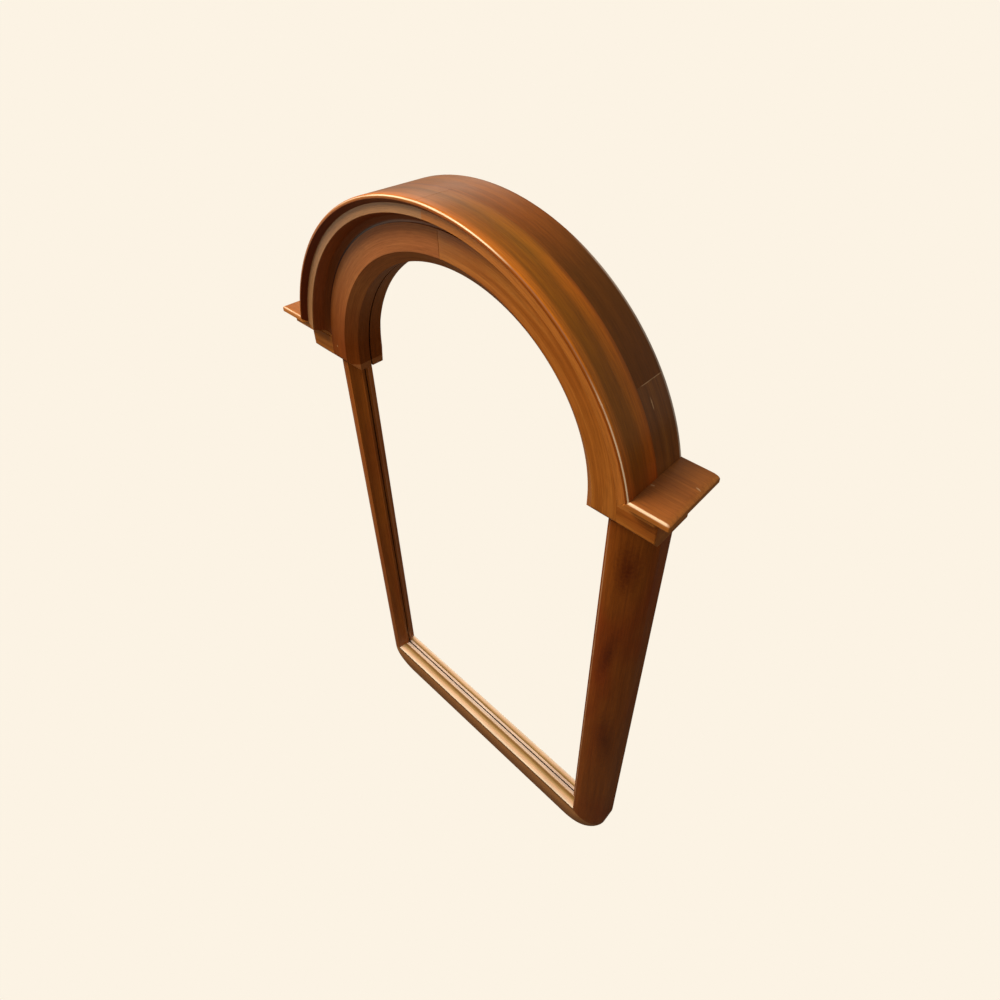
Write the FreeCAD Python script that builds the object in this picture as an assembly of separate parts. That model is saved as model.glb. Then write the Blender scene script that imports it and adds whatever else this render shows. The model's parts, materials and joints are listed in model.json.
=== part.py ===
import FreeCAD
import Part
import math
import os

# Arched wall mirror in stained hardwood.
# The frame stands upright with its front towards -Y and its back on the plane Y = 0.
# The origin is the centre of the arch on the back plane, midway between the two hangers.
# Depths are counted forwards from the back plane. All lengths are in millimetres.

# Hood: the projecting outer arch, built of a front and a back layer
hood_radius = 300.0
hood_depth = 98.0
hood_split_depth = 46.0
rim_width = 10.5
rim_nose_radius = 4.0
rim_step = 8.0
fascia_width = 11.0
soffit_taper = 5.0
soffit_rise = 17.0
cove_width = 10.0
cove_sag = 1.6
quirk_depth = 1.5
hood_joint_angle = 32.5

# Arch face: the inner arch with its bevel
face_width = 33.5
face_depth = 70.0
bevel_width = 15.0
bevel_fall = 12.5
bevel_edge_radius = 1.2

# Ears: the short level ends of the hood
ear_height = 70.0
ear_reach = 38.7
ear_return_share = 0.9

# Imposts: the blocks under the ears
impost_bottom = 4.0
impost_reach = 13.5
impost_corner_radius = 6.0
impost_edge_radius = 1.5

# Stiles and bottom rail: one moulded section all round, mitred at the lower corners
stile_width = 62.3
frame_depth = 58.5
frame_side_depth = 23.0
bulge_power_share = 1.5
bulge_shares = (0.0, 0.1, 0.22, 0.36, 0.5, 0.64, 0.78, 0.9, 1.0)
lip_length = 4.5
lip_step = 2.0
lip_edge_radius = 0.8
edge_width = 11.7
strip_width = 6.0
edge_cove_sag = 1.3
rail_lip_drop = 747.1
rail_height = 131.9
corner_radius = 99.0
inner_corner_radius = 2.0

# Glass, backing and what holds them in the rebate
glass_depth = 38.5
glass_thickness = 4.0
glass_clearance = 1.0
rebate_lap = 10.0
backing_thickness = 5.0
backing_clearance = 1.5
batten_width = 11.0
batten_thickness = 12.0
batten_clearance = 0.3
batten_end_gap = 4.0
batten_top_drop = 12.0
block_length = 34.0
block_angle_shares = (0.12, 0.37, 0.63, 0.88)

# Screws through the battens and blocks
screw_shank_radius = 1.5
screw_head_radius = 3.2
screw_head_height = 1.8
screw_length = 26.0
screw_clearance = 0.05
batten_screw_shares = (0.08, 0.36, 0.64, 0.92)
rail_screw_shares = (0.12, 0.5, 0.88)

# Dowels in the glued joints
dowel_radius = 4.0
dowel_length = 36.0
dowel_clearance = 0.05
dowel_depth = 20.0
stile_dowel_shares = (0.16, 0.68)
corner_dowel_shares = (0.3, 0.56)

# Hangers: a folded strap with a swinging D-ring on each stile
hanger_inset = 29.0
ring_wire_radius = 1.5
ring_half_width = 11.5
ring_bend_radius = 3.0
bar_clearance = 0.06
strap_width = 14.0
strap_thickness = 1.0
strap_length = 52.0
barrel_lift = 0.3
hanger_screw_drops = (26.0, 43.0)
hanger_screw_length = 16.0
hanger_screw_head_height = 1.6
hanger_screw_head_radius = 3.4
hanger_screw_shank_radius = 1.6

# Felt pads that keep the foot of the frame level with the hangers
pad_radius = 9.0
pad_inset = 38.0
pad_rise = 79.0

# Glue line left between curved pieces, and the overrun of every cut
glue_gap = 0.1
overrun = 5.0

# Worked out from the sizes above
arch_outer = hood_radius - rim_width - fascia_width - soffit_taper - cove_width
face_inner = arch_outer - face_width
opening_radius = face_inner - bevel_width
fascia_depth = hood_depth - rim_step
soffit_depth = fascia_depth - soffit_rise
frame_half_width = hood_radius
lip_half_width = frame_half_width - stile_width
strip_half_width = lip_half_width + edge_width + strip_width
strip_drop = rail_lip_drop + edge_width + strip_width
rail_bottom_drop = rail_lip_drop + rail_height
rebate_half_width = lip_half_width + rebate_lap
rebate_drop = rail_lip_drop + rebate_lap
ear_bottom = ear_height - (hood_radius - arch_outer)
ear_tip = hood_radius + ear_reach
impost_half_width = hood_radius + impost_reach
foot_bottom = impost_bottom - bevel_width
bar_bore = ring_wire_radius + bar_clearance
barrel_radius = bar_bore + strap_thickness
hinge_back = barrel_radius + barrel_lift
hanger_offset = frame_half_width - hanger_inset
pad_offset = frame_half_width - pad_inset
pad_drop = rail_bottom_drop - pad_rise
pad_thickness = hinge_back + barrel_radius


def at(x, depth, z):
    """Point at a sideways place, a depth in front of the back plane and a height."""
    return FreeCAD.Vector(x, -depth, z)


origin = at(0, 0, 0)
forward = FreeCAD.Vector(0, -1, 0)


def corner_arc(before, corner, after, radius):
    """Start, middle and end of the arc that rounds one corner of an outline."""
    ax, ay = before[0] - corner[0], before[1] - corner[1]
    bx, by = after[0] - corner[0], after[1] - corner[1]
    la, lb = math.hypot(ax, ay), math.hypot(bx, by)
    ax, ay, bx, by = ax / la, ay / la, bx / lb, by / lb
    half = math.acos(ax * bx + ay * by) / 2
    run = radius / math.tan(half)
    mx, my = ax + bx, ay + by
    lm = math.hypot(mx, my)
    out = radius / math.sin(half) - radius
    start = (corner[0] + ax * run, corner[1] + ay * run)
    middle = (corner[0] + mx / lm * out, corner[1] + my / lm * out)
    end = (corner[0] + bx * run, corner[1] + by * run)
    return start, middle, end


def outline(corners, place):
    """Closed face from corners (a, b, radius, sag): the sag bends the edge that leaves."""
    arcs = []
    count = len(corners)
    for i, (a, b, radius, sag) in enumerate(corners):
        if radius:
            arcs.append(corner_arc(corners[i - 1], (a, b), corners[(i + 1) % count], radius))
        else:
            arcs.append(((a, b), None, (a, b)))
    edges = []
    for i in range(count):
        start, middle, end = arcs[i]
        follow = arcs[(i + 1) % count][0]
        if middle:
            edges.append(Part.Arc(place(*start), place(*middle), place(*end)).toShape())
        sag = corners[i][3]
        if sag:
            da, db = follow[0] - end[0], follow[1] - end[1]
            run = math.hypot(da, db)
            bend = ((end[0] + follow[0]) / 2 + sag * db / run, (end[1] + follow[1]) / 2 - sag * da / run)
            edges.append(Part.Arc(place(*end), place(*bend), place(*follow)).toShape())
        else:
            edges.append(Part.makeLine(place(*end), place(*follow)))
    return Part.Face(Part.Wire(edges))


def in_section(a, depth):
    """Outline corner given as a radius or half width, and a depth."""
    return at(a, depth, 0)


def in_front(x, z):
    """Outline corner on the back plane, given sideways and by height."""
    return at(x, 0, z)


def prism(face, run):
    """Solid swept from a face along a straight run."""
    return face.extrude(run)


def slab(outline_points, depth_from, depth_to):
    """Solid of a straight-sided outline in the front view, between two depths."""
    face = outline([(x, z, 0, 0) for x, z in outline_points], in_front)
    face.translate(at(0, depth_from, 0))
    return prism(face, at(0, depth_to - depth_from, 0))


def arch(face, angle_from, angle_to):
    """Part of a ring turned about the centre of the arch, angles counted from +X upwards."""
    ring = face.copy()
    ring.rotate(origin, forward, angle_from)
    return ring.revolve(origin, forward, angle_to - angle_from)


def rod(centre, direction, radius, length):
    """Round bar centred on a point."""
    start = centre - direction * (length / 2)
    return Part.makeCylinder(radius, length, start, direction)


def mirrored(shape):
    """The same piece on the left side."""
    return shape.mirror(origin, FreeCAD.Vector(1, 0, 0))


# Hood

def hood_corners(axial):
    """Front part of the hood's moulding, with the rim's face as the last step."""
    step = arch_outer + cove_width
    fascia = step + soffit_taper
    rim = fascia + fascia_width
    return [
        (arch_outer, axial, 0, 0),
        (arch_outer, face_depth - quirk_depth, 0, cove_sag),
        (step, soffit_depth, 0, 0),
        (fascia, fascia_depth, 0, 0),
        (rim, fascia_depth, 0, 0),
        (rim, hood_depth, 0, 0),
        (hood_radius, hood_depth, rim_nose_radius, 0),
        (hood_radius, axial, 0, 0),
    ]


def mitre_side(overlap):
    """Everything on the ear's side of the mitre between hood and ear, on the right."""
    top = (math.sqrt(hood_radius ** 2 - ear_height ** 2), ear_height)
    foot = (math.sqrt(arch_outer ** 2 - ear_bottom ** 2), ear_bottom)
    dx, dz = top[0] - foot[0], top[1] - foot[1]
    run = math.hypot(dx, dz)
    ux, uz = dx / run, dz / run
    shift = (-uz * overlap, ux * overlap)
    upper = (top[0] + ux * hood_radius + shift[0], top[1] + uz * hood_radius + shift[1])
    lower = (foot[0] - ux * hood_radius + shift[0], foot[1] - uz * hood_radius + shift[1])
    return slab([lower, (lower[0] + 2 * hood_radius, lower[1]), (upper[0] + hood_radius, upper[1]), upper],
                -overrun, hood_depth + overrun)


def hood_front(angle_from, mitre):
    """Half of the hood's front layer, cut at the mitre with its ear."""
    ring = arch(outline(hood_corners(hood_split_depth), in_section), angle_from, angle_from + 90)
    return ring.cut(mitre)


def hood_layer_back(angle_from, angle_to):
    corners = [
        (arch_outer, 0, 0, 0),
        (arch_outer, hood_split_depth, 0, 0),
        (hood_radius, hood_split_depth, 0, 0),
        (hood_radius, 0, 0, 0),
    ]
    return arch(outline(corners, in_section), angle_from, angle_to)


def hood_back_right():
    return hood_layer_back(0, hood_joint_angle).cut(mitre_side(0))


def hood_back_crown():
    return hood_layer_back(hood_joint_angle, 180 - hood_joint_angle)


def ear_right():
    """Level end of the hood: its moulding runs along the front and returns along the side."""
    drop = hood_radius - ear_height
    front = outline([(r - drop, d, radius, sag) for r, d, radius, sag in hood_corners(0)],
                    lambda z, d: at(0, d, z))
    bar = prism(front, at(ear_tip + overrun, 0, 0))
    tip = []
    for r, d, radius, sag in hood_corners(0):
        x = ear_tip - ear_return_share * (hood_depth - d)
        tip.append([r - drop, x, radius * ear_return_share, sag])
    tip[0][1] = 0
    tip[-1][1] = 0
    end = outline([tuple(t) for t in tip], lambda z, x: at(x, -overrun, z))
    across = prism(end, at(0, hood_depth + 2 * overrun, 0))
    return bar.common(across).common(mitre_side(-glue_gap))


# Arch face and imposts

def under_foot():
    """Everything below the feet: their front edge carries on the bevel of the arch face."""
    low = foot_bottom - hood_radius
    beyond = face_depth + bevel_fall
    corners = [
        (-overrun, foot_bottom, 0, 0),
        (face_depth - bevel_fall, foot_bottom, 0, 0),
        (beyond, impost_bottom + bevel_width, 0, 0),
        (beyond, low, 0, 0),
        (-overrun, low, 0, 0),
    ]
    face = outline(corners, lambda d, z: at(0, d, z))
    return prism(face, at(impost_half_width + overrun, 0, 0))


def arch_face_right():
    corners = [
        (opening_radius, glass_depth, 0, 0),
        (opening_radius, face_depth - bevel_fall, bevel_edge_radius, 0),
        (face_inner, face_depth, bevel_edge_radius, 0),
        (arch_outer - glue_gap, face_depth, 0, 0),
        (arch_outer - glue_gap, 0, 0, 0),
        (rebate_half_width, 0, 0, 0),
        (rebate_half_width, glass_depth, 0, 0),
    ]
    section = outline(corners, in_section)
    foot = prism(section, at(0, 0, foot_bottom - overrun))
    return arch(section, 0, 90).fuse(foot).cut(under_foot())


def impost_right():
    """Block beside the foot of the arch face, hollowed to seat on its curve."""
    corners = [
        (rebate_half_width, foot_bottom, 0, 0),
        (impost_half_width, foot_bottom, impost_corner_radius, 0),
        (impost_half_width, ear_bottom, 0, 0),
        (rebate_half_width, ear_bottom, 0, 0),
    ]
    block = prism(outline(corners, in_front), at(0, face_depth, 0))
    section = outline([
        (0, 0, 0, 0),
        (0, face_depth, 0, 0),
        (impost_half_width, face_depth, impost_edge_radius, 0),
        (impost_half_width, 0, 0, 0),
    ], lambda x, d: at(x, d, foot_bottom))
    block = block.common(prism(section, at(0, 0, ear_bottom - foot_bottom)))
    core = Part.makeCylinder(arch_outer, face_depth + 2 * overrun, at(0, -overrun, 0), forward)
    foot = box(0, arch_outer, -overrun, face_depth + overrun, foot_bottom - overrun, 0)
    return block.cut([core, foot, under_foot()])


# Stiles and bottom rail

def bulge_outline(share):
    """Outline of the frame at one level of its convex front, and the depth of that level."""
    angle = share * math.pi / 2
    power = 2 / bulge_power_share
    out = math.sin(angle) ** power
    depth = frame_side_depth + (frame_depth - frame_side_depth) * math.cos(angle) ** power
    x = strip_half_width + (frame_half_width - strip_half_width) * out
    z = -strip_drop - (rail_bottom_drop - strip_drop) * out
    radius = inner_corner_radius + (corner_radius - inner_corner_radius) * out
    top = foot_bottom
    bend = radius * (1 - math.sqrt(0.5))
    edges = [
        Part.makeLine(at(-x, depth, top), at(x, depth, top)),
        Part.makeLine(at(x, depth, top), at(x, depth, z + radius)),
        Part.Arc(at(x, depth, z + radius), at(x - bend, depth, z + bend), at(x - radius, depth, z)).toShape(),
        Part.makeLine(at(x - radius, depth, z), at(radius - x, depth, z)),
        Part.Arc(at(radius - x, depth, z), at(bend - x, depth, z + bend), at(-x, depth, z + radius)).toShape(),
        Part.makeLine(at(-x, depth, z + radius), at(-x, depth, top)),
    ]
    return Part.Wire(edges)


def pillow():
    """The convex outside of the frame: a loft over a straight-sided back."""
    front = Part.makeLoft([bulge_outline(share) for share in bulge_shares], True, False)
    back = prism(Part.Face(bulge_outline(1)), FreeCAD.Vector(0, frame_side_depth, 0))
    return front.fuse(back)


def member_face(reach, place):
    """Section of a stile or rail, counted outwards from the lip beside the glass."""
    return outline([
        (rebate_lap, 0, 0, 0),
        (rebate_lap, glass_depth, 0, 0),
        (0, glass_depth, 0, 0),
        (0, glass_depth + lip_length, lip_edge_radius, 0),
        (lip_step, glass_depth + lip_length, 0, edge_cove_sag),
        (edge_width, frame_depth, 0, 0),
        (reach, frame_depth, 0, 0),
        (reach, 0, 0, 0),
    ], place)


def corner_mitre():
    """Everything below the mitre of the lower right corner."""
    reach = stile_width + overrun
    low = -rail_bottom_drop - overrun
    inner = (0, lip_half_width - rail_lip_drop)
    outer = (lip_half_width + reach, -rail_lip_drop - reach)
    return slab([(0, low), (outer[0], low), outer, inner], -overrun, frame_depth + overrun)


def stile_right(body):
    face = member_face(stile_width + overrun, lambda a, d: at(lip_half_width + a, d, -rail_bottom_drop))
    bar = prism(face, at(0, 0, rail_bottom_drop + foot_bottom))
    return bar.common(body).cut(corner_mitre())


def bottom_rail(body):
    face = member_face(rail_height + overrun, lambda a, d: at(-frame_half_width, d, -rail_lip_drop - a))
    bar = prism(face, at(2 * frame_half_width, 0, 0))
    cut = corner_mitre()
    return bar.common(body).common(cut.fuse(mirrored(cut)))


# Glass, backing and battens

def pane(half_width, drop, depth, thickness):
    """Arch-headed sheet with square lower corners."""
    edges = [
        Part.makeLine(at(-half_width, depth, 0), at(-half_width, depth, -drop)),
        Part.makeLine(at(-half_width, depth, -drop), at(half_width, depth, -drop)),
        Part.makeLine(at(half_width, depth, -drop), at(half_width, depth, 0)),
        Part.Arc(at(half_width, depth, 0), at(0, depth, half_width), at(-half_width, depth, 0)).toShape(),
    ]
    return prism(Part.Face(Part.Wire(edges)), at(0, thickness, 0))


def mirror_glass():
    return pane(rebate_half_width - glass_clearance, rebate_drop - glass_clearance,
                glass_depth - glass_thickness, glass_thickness)


backing_depth = glass_depth - glass_thickness - backing_thickness
batten_depth = backing_depth - batten_thickness
batten_outer = rebate_half_width - batten_clearance
batten_foot = rebate_drop - batten_clearance


def backing_board():
    return pane(rebate_half_width - backing_clearance, rebate_drop - backing_clearance,
                backing_depth, backing_thickness)


def box(x_from, x_to, depth_from, depth_to, z_from, z_to):
    """Square-edged block."""
    return slab([(x_from, z_from), (x_to, z_from), (x_to, z_to), (x_from, z_to)], depth_from, depth_to)


def batten_right():
    low = batten_width + batten_end_gap - batten_foot
    return box(batten_outer - batten_width, batten_outer, batten_depth, backing_depth, low, -batten_top_drop)


def batten_bottom():
    return box(-batten_outer, batten_outer, batten_depth, backing_depth, -batten_foot,
               batten_width - batten_foot)


def arch_blocks():
    """Short curved blocks glued and screwed round the arch."""
    half = math.degrees(block_length / batten_outer / 2)
    corners = [
        (batten_outer - batten_width, batten_depth, 0, 0),
        (batten_outer - batten_width, backing_depth, 0, 0),
        (batten_outer, backing_depth, 0, 0),
        (batten_outer, batten_depth, 0, 0),
    ]
    face = outline(corners, in_section)
    return [arch(face, 180 * share - half, 180 * share + half) for share in block_angle_shares]


# Screws and dowels

def screw(seat, inward, shank, head, head_height, length):
    """Round-headed screw: the seat is where the underside of its head lies."""
    body = Part.makeCylinder(shank, length - shank, seat, inward)
    point = Part.makeCone(shank, 0, shank, seat + inward * (length - shank), inward)
    dome = Part.makeCylinder(head, head_height / 2, seat - inward * (head_height / 2), inward)
    cap = Part.makeCone(head / 2, head, head_height / 2, seat - inward * head_height, inward)
    return body.fuse([point, dome, cap])


def screw_hole(seat, inward, shank, length):
    return Part.makeCylinder(shank + screw_clearance, length + screw_clearance, seat, inward)


def batten_screw_places():
    """Seats and directions of the screws through battens and blocks."""
    inner = batten_outer - batten_width
    depth = batten_depth + batten_thickness / 2
    low = batten_width + batten_end_gap - batten_foot
    places = []
    for share in batten_screw_shares:
        z = low + share * (-batten_top_drop - low)
        places.append((at(inner, depth, z), FreeCAD.Vector(1, 0, 0)))
        places.append((at(-inner, depth, z), FreeCAD.Vector(-1, 0, 0)))
    for share in rail_screw_shares:
        x = (2 * share - 1) * inner
        places.append((at(x, depth, batten_width - batten_foot), FreeCAD.Vector(0, 0, -1)))
    for share in block_angle_shares:
        angle = math.pi * share
        outward = FreeCAD.Vector(math.cos(angle), 0, math.sin(angle))
        places.append((outward * (inner - screw_clearance) + at(0, depth, 0), outward))
    return places


def hanger_screw_places():
    places = []
    for side in (1, -1):
        for drop in hanger_screw_drops:
            places.append((FreeCAD.Vector(side * hanger_offset, strap_thickness, -drop), forward))
    return places


def dowel_places():
    """Centres and directions of the dowels across the glued joints."""
    places = []
    width = frame_half_width - rebate_half_width
    for share in stile_dowel_shares:
        x = rebate_half_width + share * width
        places.append((at(x, dowel_depth, foot_bottom), FreeCAD.Vector(0, 0, 1)))
    across = FreeCAD.Vector(math.sqrt(0.5), 0, math.sqrt(0.5))
    for share in corner_dowel_shares:
        out = rebate_lap + share * width
        places.append((at(lip_half_width + out, dowel_depth, -rail_lip_drop - out), across))
    middle = (arch_outer + hood_radius) / 2
    angle = math.radians(hood_joint_angle)
    along = FreeCAD.Vector(-math.sin(angle), 0, math.cos(angle))
    places.append((at(middle * math.cos(angle), dowel_depth, middle * math.sin(angle)), along))
    left = [(FreeCAD.Vector(-c.x, c.y, c.z), FreeCAD.Vector(-v.x, v.y, v.z)) for c, v in places]
    across = FreeCAD.Vector(1, 0, 0)
    crown = [
        (at(0, (hood_split_depth + fascia_depth) / 2, middle), across),
        (at(0, (glass_depth + face_depth - bevel_fall) / 2, (opening_radius + face_inner) / 2), across),
        (at(0, dowel_depth, (rebate_half_width + arch_outer) / 2), across),
    ]
    return places + left + crown


# Hangers and pads

def strap_right():
    """Strap curled round the ring's bar at its top."""
    start = FreeCAD.Vector(hanger_offset - strap_width / 2, hinge_back, 0)
    side = FreeCAD.Vector(1, 0, 0)
    plate = Part.makeBox(strap_width, strap_thickness, strap_length,
                         FreeCAD.Vector(hanger_offset - strap_width / 2, 0, -strap_length))
    plate = plate.makeFillet(strap_width / 3, [e for e in plate.Edges if is_plate_corner(e)])
    barrel = Part.makeCylinder(barrel_radius, strap_width, start, side)
    body = plate.fuse(barrel)
    bore = Part.makeCylinder(bar_bore, strap_width + 2 * overrun, start - side * overrun, side)
    return body.cut(bore).removeSplitter()


def is_plate_corner(edge):
    """True for the two short upright edges at the strap's foot."""
    low = all(abs(v.Z + strap_length) < strap_thickness / 2 for v in edge.Vertexes)
    return low and edge.Length < 2 * strap_thickness


def bent_wire(start, heading, centre, angle):
    """Length of ring wire bent about a centre, in the ring's plane."""
    disc = Part.Face(Part.Wire(Part.makeCircle(ring_wire_radius, start, heading)))
    return disc.revolve(centre, FreeCAD.Vector(0, 1, 0), angle)


def ring_right():
    """D-ring hanging from its bar."""
    middle = FreeCAD.Vector(hanger_offset, hinge_back, 0)
    straight = ring_half_width - ring_bend_radius
    side = FreeCAD.Vector(1, 0, 0)
    down = FreeCAD.Vector(0, 0, -1)
    bend = down * ring_bend_radius
    right, left = middle + side * straight, middle - side * straight
    bar = Part.makeCylinder(ring_wire_radius, 2 * straight, left, side)
    bow = bent_wire(middle + side * ring_half_width + bend, down, middle + bend, 180)
    return bar.fuse([
        bent_wire(right, side, right + bend, 90),
        bow,
        bent_wire(middle - side * ring_half_width + bend, down, left + bend, 90),
    ]).removeSplitter()


def felt_pads():
    back = FreeCAD.Vector(0, 1, 0)
    return [Part.makeCylinder(pad_radius, pad_thickness, at(side * pad_offset, 0, -pad_drop), back)
            for side in (1, -1)]


# Assembly

def drilled(shape, holes):
    """A piece with every hole that reaches it."""
    near = [hole for hole in holes if hole.BoundBox.intersect(shape.BoundBox)]
    for hole in near:
        shape = shape.cut(hole)
    return shape


def build():
    body = pillow()
    right_stile = stile_right(body)
    dowels = dowel_places()
    batten_screws = batten_screw_places()
    hanger_screws = hanger_screw_places()
    dowel_holes = [rod(c, v, dowel_radius + dowel_clearance, dowel_length + 2 * dowel_clearance)
                   for c, v in dowels]
    batten_holes = [screw_hole(s, v, screw_shank_radius, screw_length) for s, v in batten_screws]
    hanger_holes = [screw_hole(s, v, hanger_screw_shank_radius, hanger_screw_length) for s, v in hanger_screws]
    holes = dowel_holes + batten_holes + hanger_holes
    wood = {
        "hood_front_right": hood_front(0, mitre_side(0)),
        "hood_front_left": hood_front(90, mirrored(mitre_side(0))),
        "hood_back_right": hood_back_right(),
        "hood_back_left": mirrored(hood_back_right()),
        "hood_back_crown": hood_back_crown(),
        "ear_right": ear_right(),
        "ear_left": mirrored(ear_right()),
        "arch_face_right": arch_face_right(),
        "arch_face_left": mirrored(arch_face_right()),
        "impost_right": impost_right(),
        "impost_left": mirrored(impost_right()),
        "stile_right": right_stile,
        "stile_left": mirrored(right_stile),
        "bottom_rail": bottom_rail(body),
        "batten_right": batten_right(),
        "batten_left": mirrored(batten_right()),
        "batten_bottom": batten_bottom(),
        "hanger_strap_right": strap_right(),
        "hanger_strap_left": mirrored(strap_right()),
    }
    nodes = {name: drilled(shape, holes) for name, shape in wood.items()}
    nodes["arch_blocks"] = Part.Compound([drilled(block, holes) for block in arch_blocks()])
    nodes["mirror_glass"] = mirror_glass()
    nodes["backing_board"] = backing_board()
    nodes["hanger_ring_right"] = ring_right()
    nodes["hanger_ring_left"] = mirrored(ring_right())
    nodes["felt_pads"] = Part.Compound(felt_pads())
    nodes["dowels"] = Part.Compound([rod(c, v, dowel_radius, dowel_length) for c, v in dowels])
    nodes["batten_screws"] = Part.Compound([
        screw(s, v, screw_shank_radius, screw_head_radius, screw_head_height, screw_length)
        for s, v in batten_screws])
    nodes["hanger_screws"] = Part.Compound([
        screw(s, v, hanger_screw_shank_radius, hanger_screw_head_radius, hanger_screw_head_height,
              hanger_screw_length) for s, v in hanger_screws])
    return nodes


def main():
    os.makedirs("parts", exist_ok=True)
    for name, shape in build().items():
        shape.exportStep("parts/" + name + ".step")
        print(name, len(shape.Solids), shape.isValid(), round(shape.Volume))


main()
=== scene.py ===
"""Arched wall mirror: hooded hardwood frame, mirror glass, backing and hangers."""

import json
import logging
import math
from dataclasses import dataclass, field, replace
from enum import Enum
from typing import Callable, Iterable, Optional, Sequence, TypeVar, Union

import bmesh
import bpy
from mathutils import Matrix, Vector

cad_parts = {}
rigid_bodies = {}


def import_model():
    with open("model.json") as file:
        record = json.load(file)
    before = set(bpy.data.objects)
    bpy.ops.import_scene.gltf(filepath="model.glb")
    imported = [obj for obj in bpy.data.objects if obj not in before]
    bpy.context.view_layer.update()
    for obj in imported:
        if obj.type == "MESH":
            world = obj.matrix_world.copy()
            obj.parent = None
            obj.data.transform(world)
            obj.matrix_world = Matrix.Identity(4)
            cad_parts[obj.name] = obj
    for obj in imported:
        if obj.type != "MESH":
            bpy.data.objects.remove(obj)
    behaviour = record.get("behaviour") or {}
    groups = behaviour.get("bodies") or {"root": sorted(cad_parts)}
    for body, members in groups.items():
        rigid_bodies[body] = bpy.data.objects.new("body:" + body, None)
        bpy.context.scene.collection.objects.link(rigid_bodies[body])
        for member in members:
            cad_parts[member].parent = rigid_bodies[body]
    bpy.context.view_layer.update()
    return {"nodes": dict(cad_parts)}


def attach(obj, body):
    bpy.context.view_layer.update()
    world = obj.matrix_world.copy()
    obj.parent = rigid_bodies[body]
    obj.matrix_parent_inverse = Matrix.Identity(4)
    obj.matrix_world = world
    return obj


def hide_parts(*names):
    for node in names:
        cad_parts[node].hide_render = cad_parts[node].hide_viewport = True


LOG = logging.getLogger("arched_mirror")
MM = 0.001
# Points this close are merged, and this close to a plane they count as on it, in metres
WELD = 1e-6
ON_PLANE = 1e-7

Point2 = tuple[float, float]
Place3 = tuple[float, float, float]
Stop = tuple[float, str]
BMesh = bmesh.types.BMesh
Object = bpy.types.Object
Node = bpy.types.Node
Socket = bpy.types.NodeSocket
Inputs = Union[dict[Union[int, str], object], Sequence[object]]
Choice = TypeVar("Choice")


# Colours, nodes and objects

def srgb(code: str) -> tuple[float, float, float, float]:
    """Turns an sRGB hex colour into Blender's linear values.

    Args:
        code: Colour such as "#8a5a25".

    Returns:
        Linear red, green, blue and an alpha of 1.
    """
    values = [int(code[i:i + 2], 16) / 255 for i in (1, 3, 5)]
    linear = [v / 12.92 if v <= 0.04045 else ((v + 0.055) / 1.055) ** 2.4 for v in values]
    return linear[0], linear[1], linear[2], 1.0


def grey(amount: float) -> str:
    """Hex colour of a grey, from 0 for black to 1 for white."""
    return "#" + f"{round(255 * amount):02x}" * 3


class NodeGraph:
    """A node tree that is built one node at a time."""

    def __init__(self, tree: bpy.types.NodeTree) -> None:
        """Keeps the tree that nodes are added to."""
        self.tree = tree

    def add(self, kind: str, inputs: Inputs = (), stops: Sequence[Stop] = (), **settings: object) -> Node:
        """Adds a node with its settings and incoming links.

        Args:
            kind: Blender's identifier of the node.
            inputs: Values, sockets or nodes for its inputs, in their order or by name or number. A node
                stands for its first output.
            stops: Positions along a colour ramp with their sRGB hex colours.
            **settings: Attributes of the node itself.

        Returns:
            The new node.
        """
        node = self.tree.nodes.new(kind)
        for name, value in settings.items():
            setattr(node, name, value)
        for key, value in (inputs if isinstance(inputs, dict) else dict(enumerate(inputs))).items():
            if isinstance(value, Node):
                value = value.outputs[0]
            if isinstance(value, Socket):
                self.tree.links.new(value, node.inputs[key])
            else:
                node.inputs[key].default_value = value
        for _extra in range(len(stops) - 2):
            node.color_ramp.elements.new(1.0)
        for i, (position, code) in enumerate(stops):
            node.color_ramp.elements[i].position = position
            node.color_ramp.elements[i].color = srgb(code)
        return node


def empty_graph(owner: Union[bpy.types.Material, bpy.types.World]) -> NodeGraph:
    """Starts the nodes of a material or world afresh.

    Args:
        owner: The material or world.

    Returns:
        Its empty graph.
    """
    owner.use_nodes = True
    owner.node_tree.nodes.clear()
    return NodeGraph(owner.node_tree)


def add_object(name: str, data: bpy.types.ID) -> Object:
    """Puts an object in the scene.

    Args:
        name: Its name.
        data: Its mesh, light or camera.

    Returns:
        The new object.
    """
    made = bpy.data.objects.new(name, data)
    bpy.context.scene.collection.objects.link(made)
    return made


def mesh_object(name: str, mesh: BMesh) -> Object:
    """Turns a bmesh into an object.

    Args:
        name: The object's name.
        mesh: Its geometry in metres, which is freed.

    Returns:
        The new object.
    """
    data = bpy.data.meshes.new(name)
    mesh.to_mesh(data)
    mesh.free()
    return add_object(name, data)


# Finishes

class Axis(Enum):
    """Ways of the grain attribute: along the board, across its face or arch, and through its depth."""

    ALONG = "X"
    ACROSS = "Y"
    THROUGH = "Z"


@dataclass(frozen=True)
class Figure:
    """Noise drawn out along the grain, in cycles per metre along and across it."""

    along: float
    across: float
    detail: float = 2.0
    wander: float = 0.0

    def on(self, graph: NodeGraph, board: Socket) -> Node:
        """Draws the figure on a board.

        Args:
            graph: The material's graph.
            board: Place along and across the grain, in metres.

        Returns:
            A node whose first output is the noise.
        """
        drawn_out = graph.add("ShaderNodeVectorMath", (board, (self.along, self.across, self.across)),
                              operation="MULTIPLY")
        return graph.add("ShaderNodeTexNoise", {"Vector": drawn_out, "Scale": 1.0, "Detail": self.detail,
                                                "Distortion": self.wander})


# Soft streaks of colour, 7 mm across and 150 mm long
STREAKS = Figure(6.5, 140.0, 3.0, 0.25)
# Patches of stain the size of a hand
STAINS = Figure(7.0, 17.0)
# Fine lines of the grain, 1.5 mm apart
GRAIN_LINES = Figure(14.0, 640.0, 2.0, 0.15)
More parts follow.
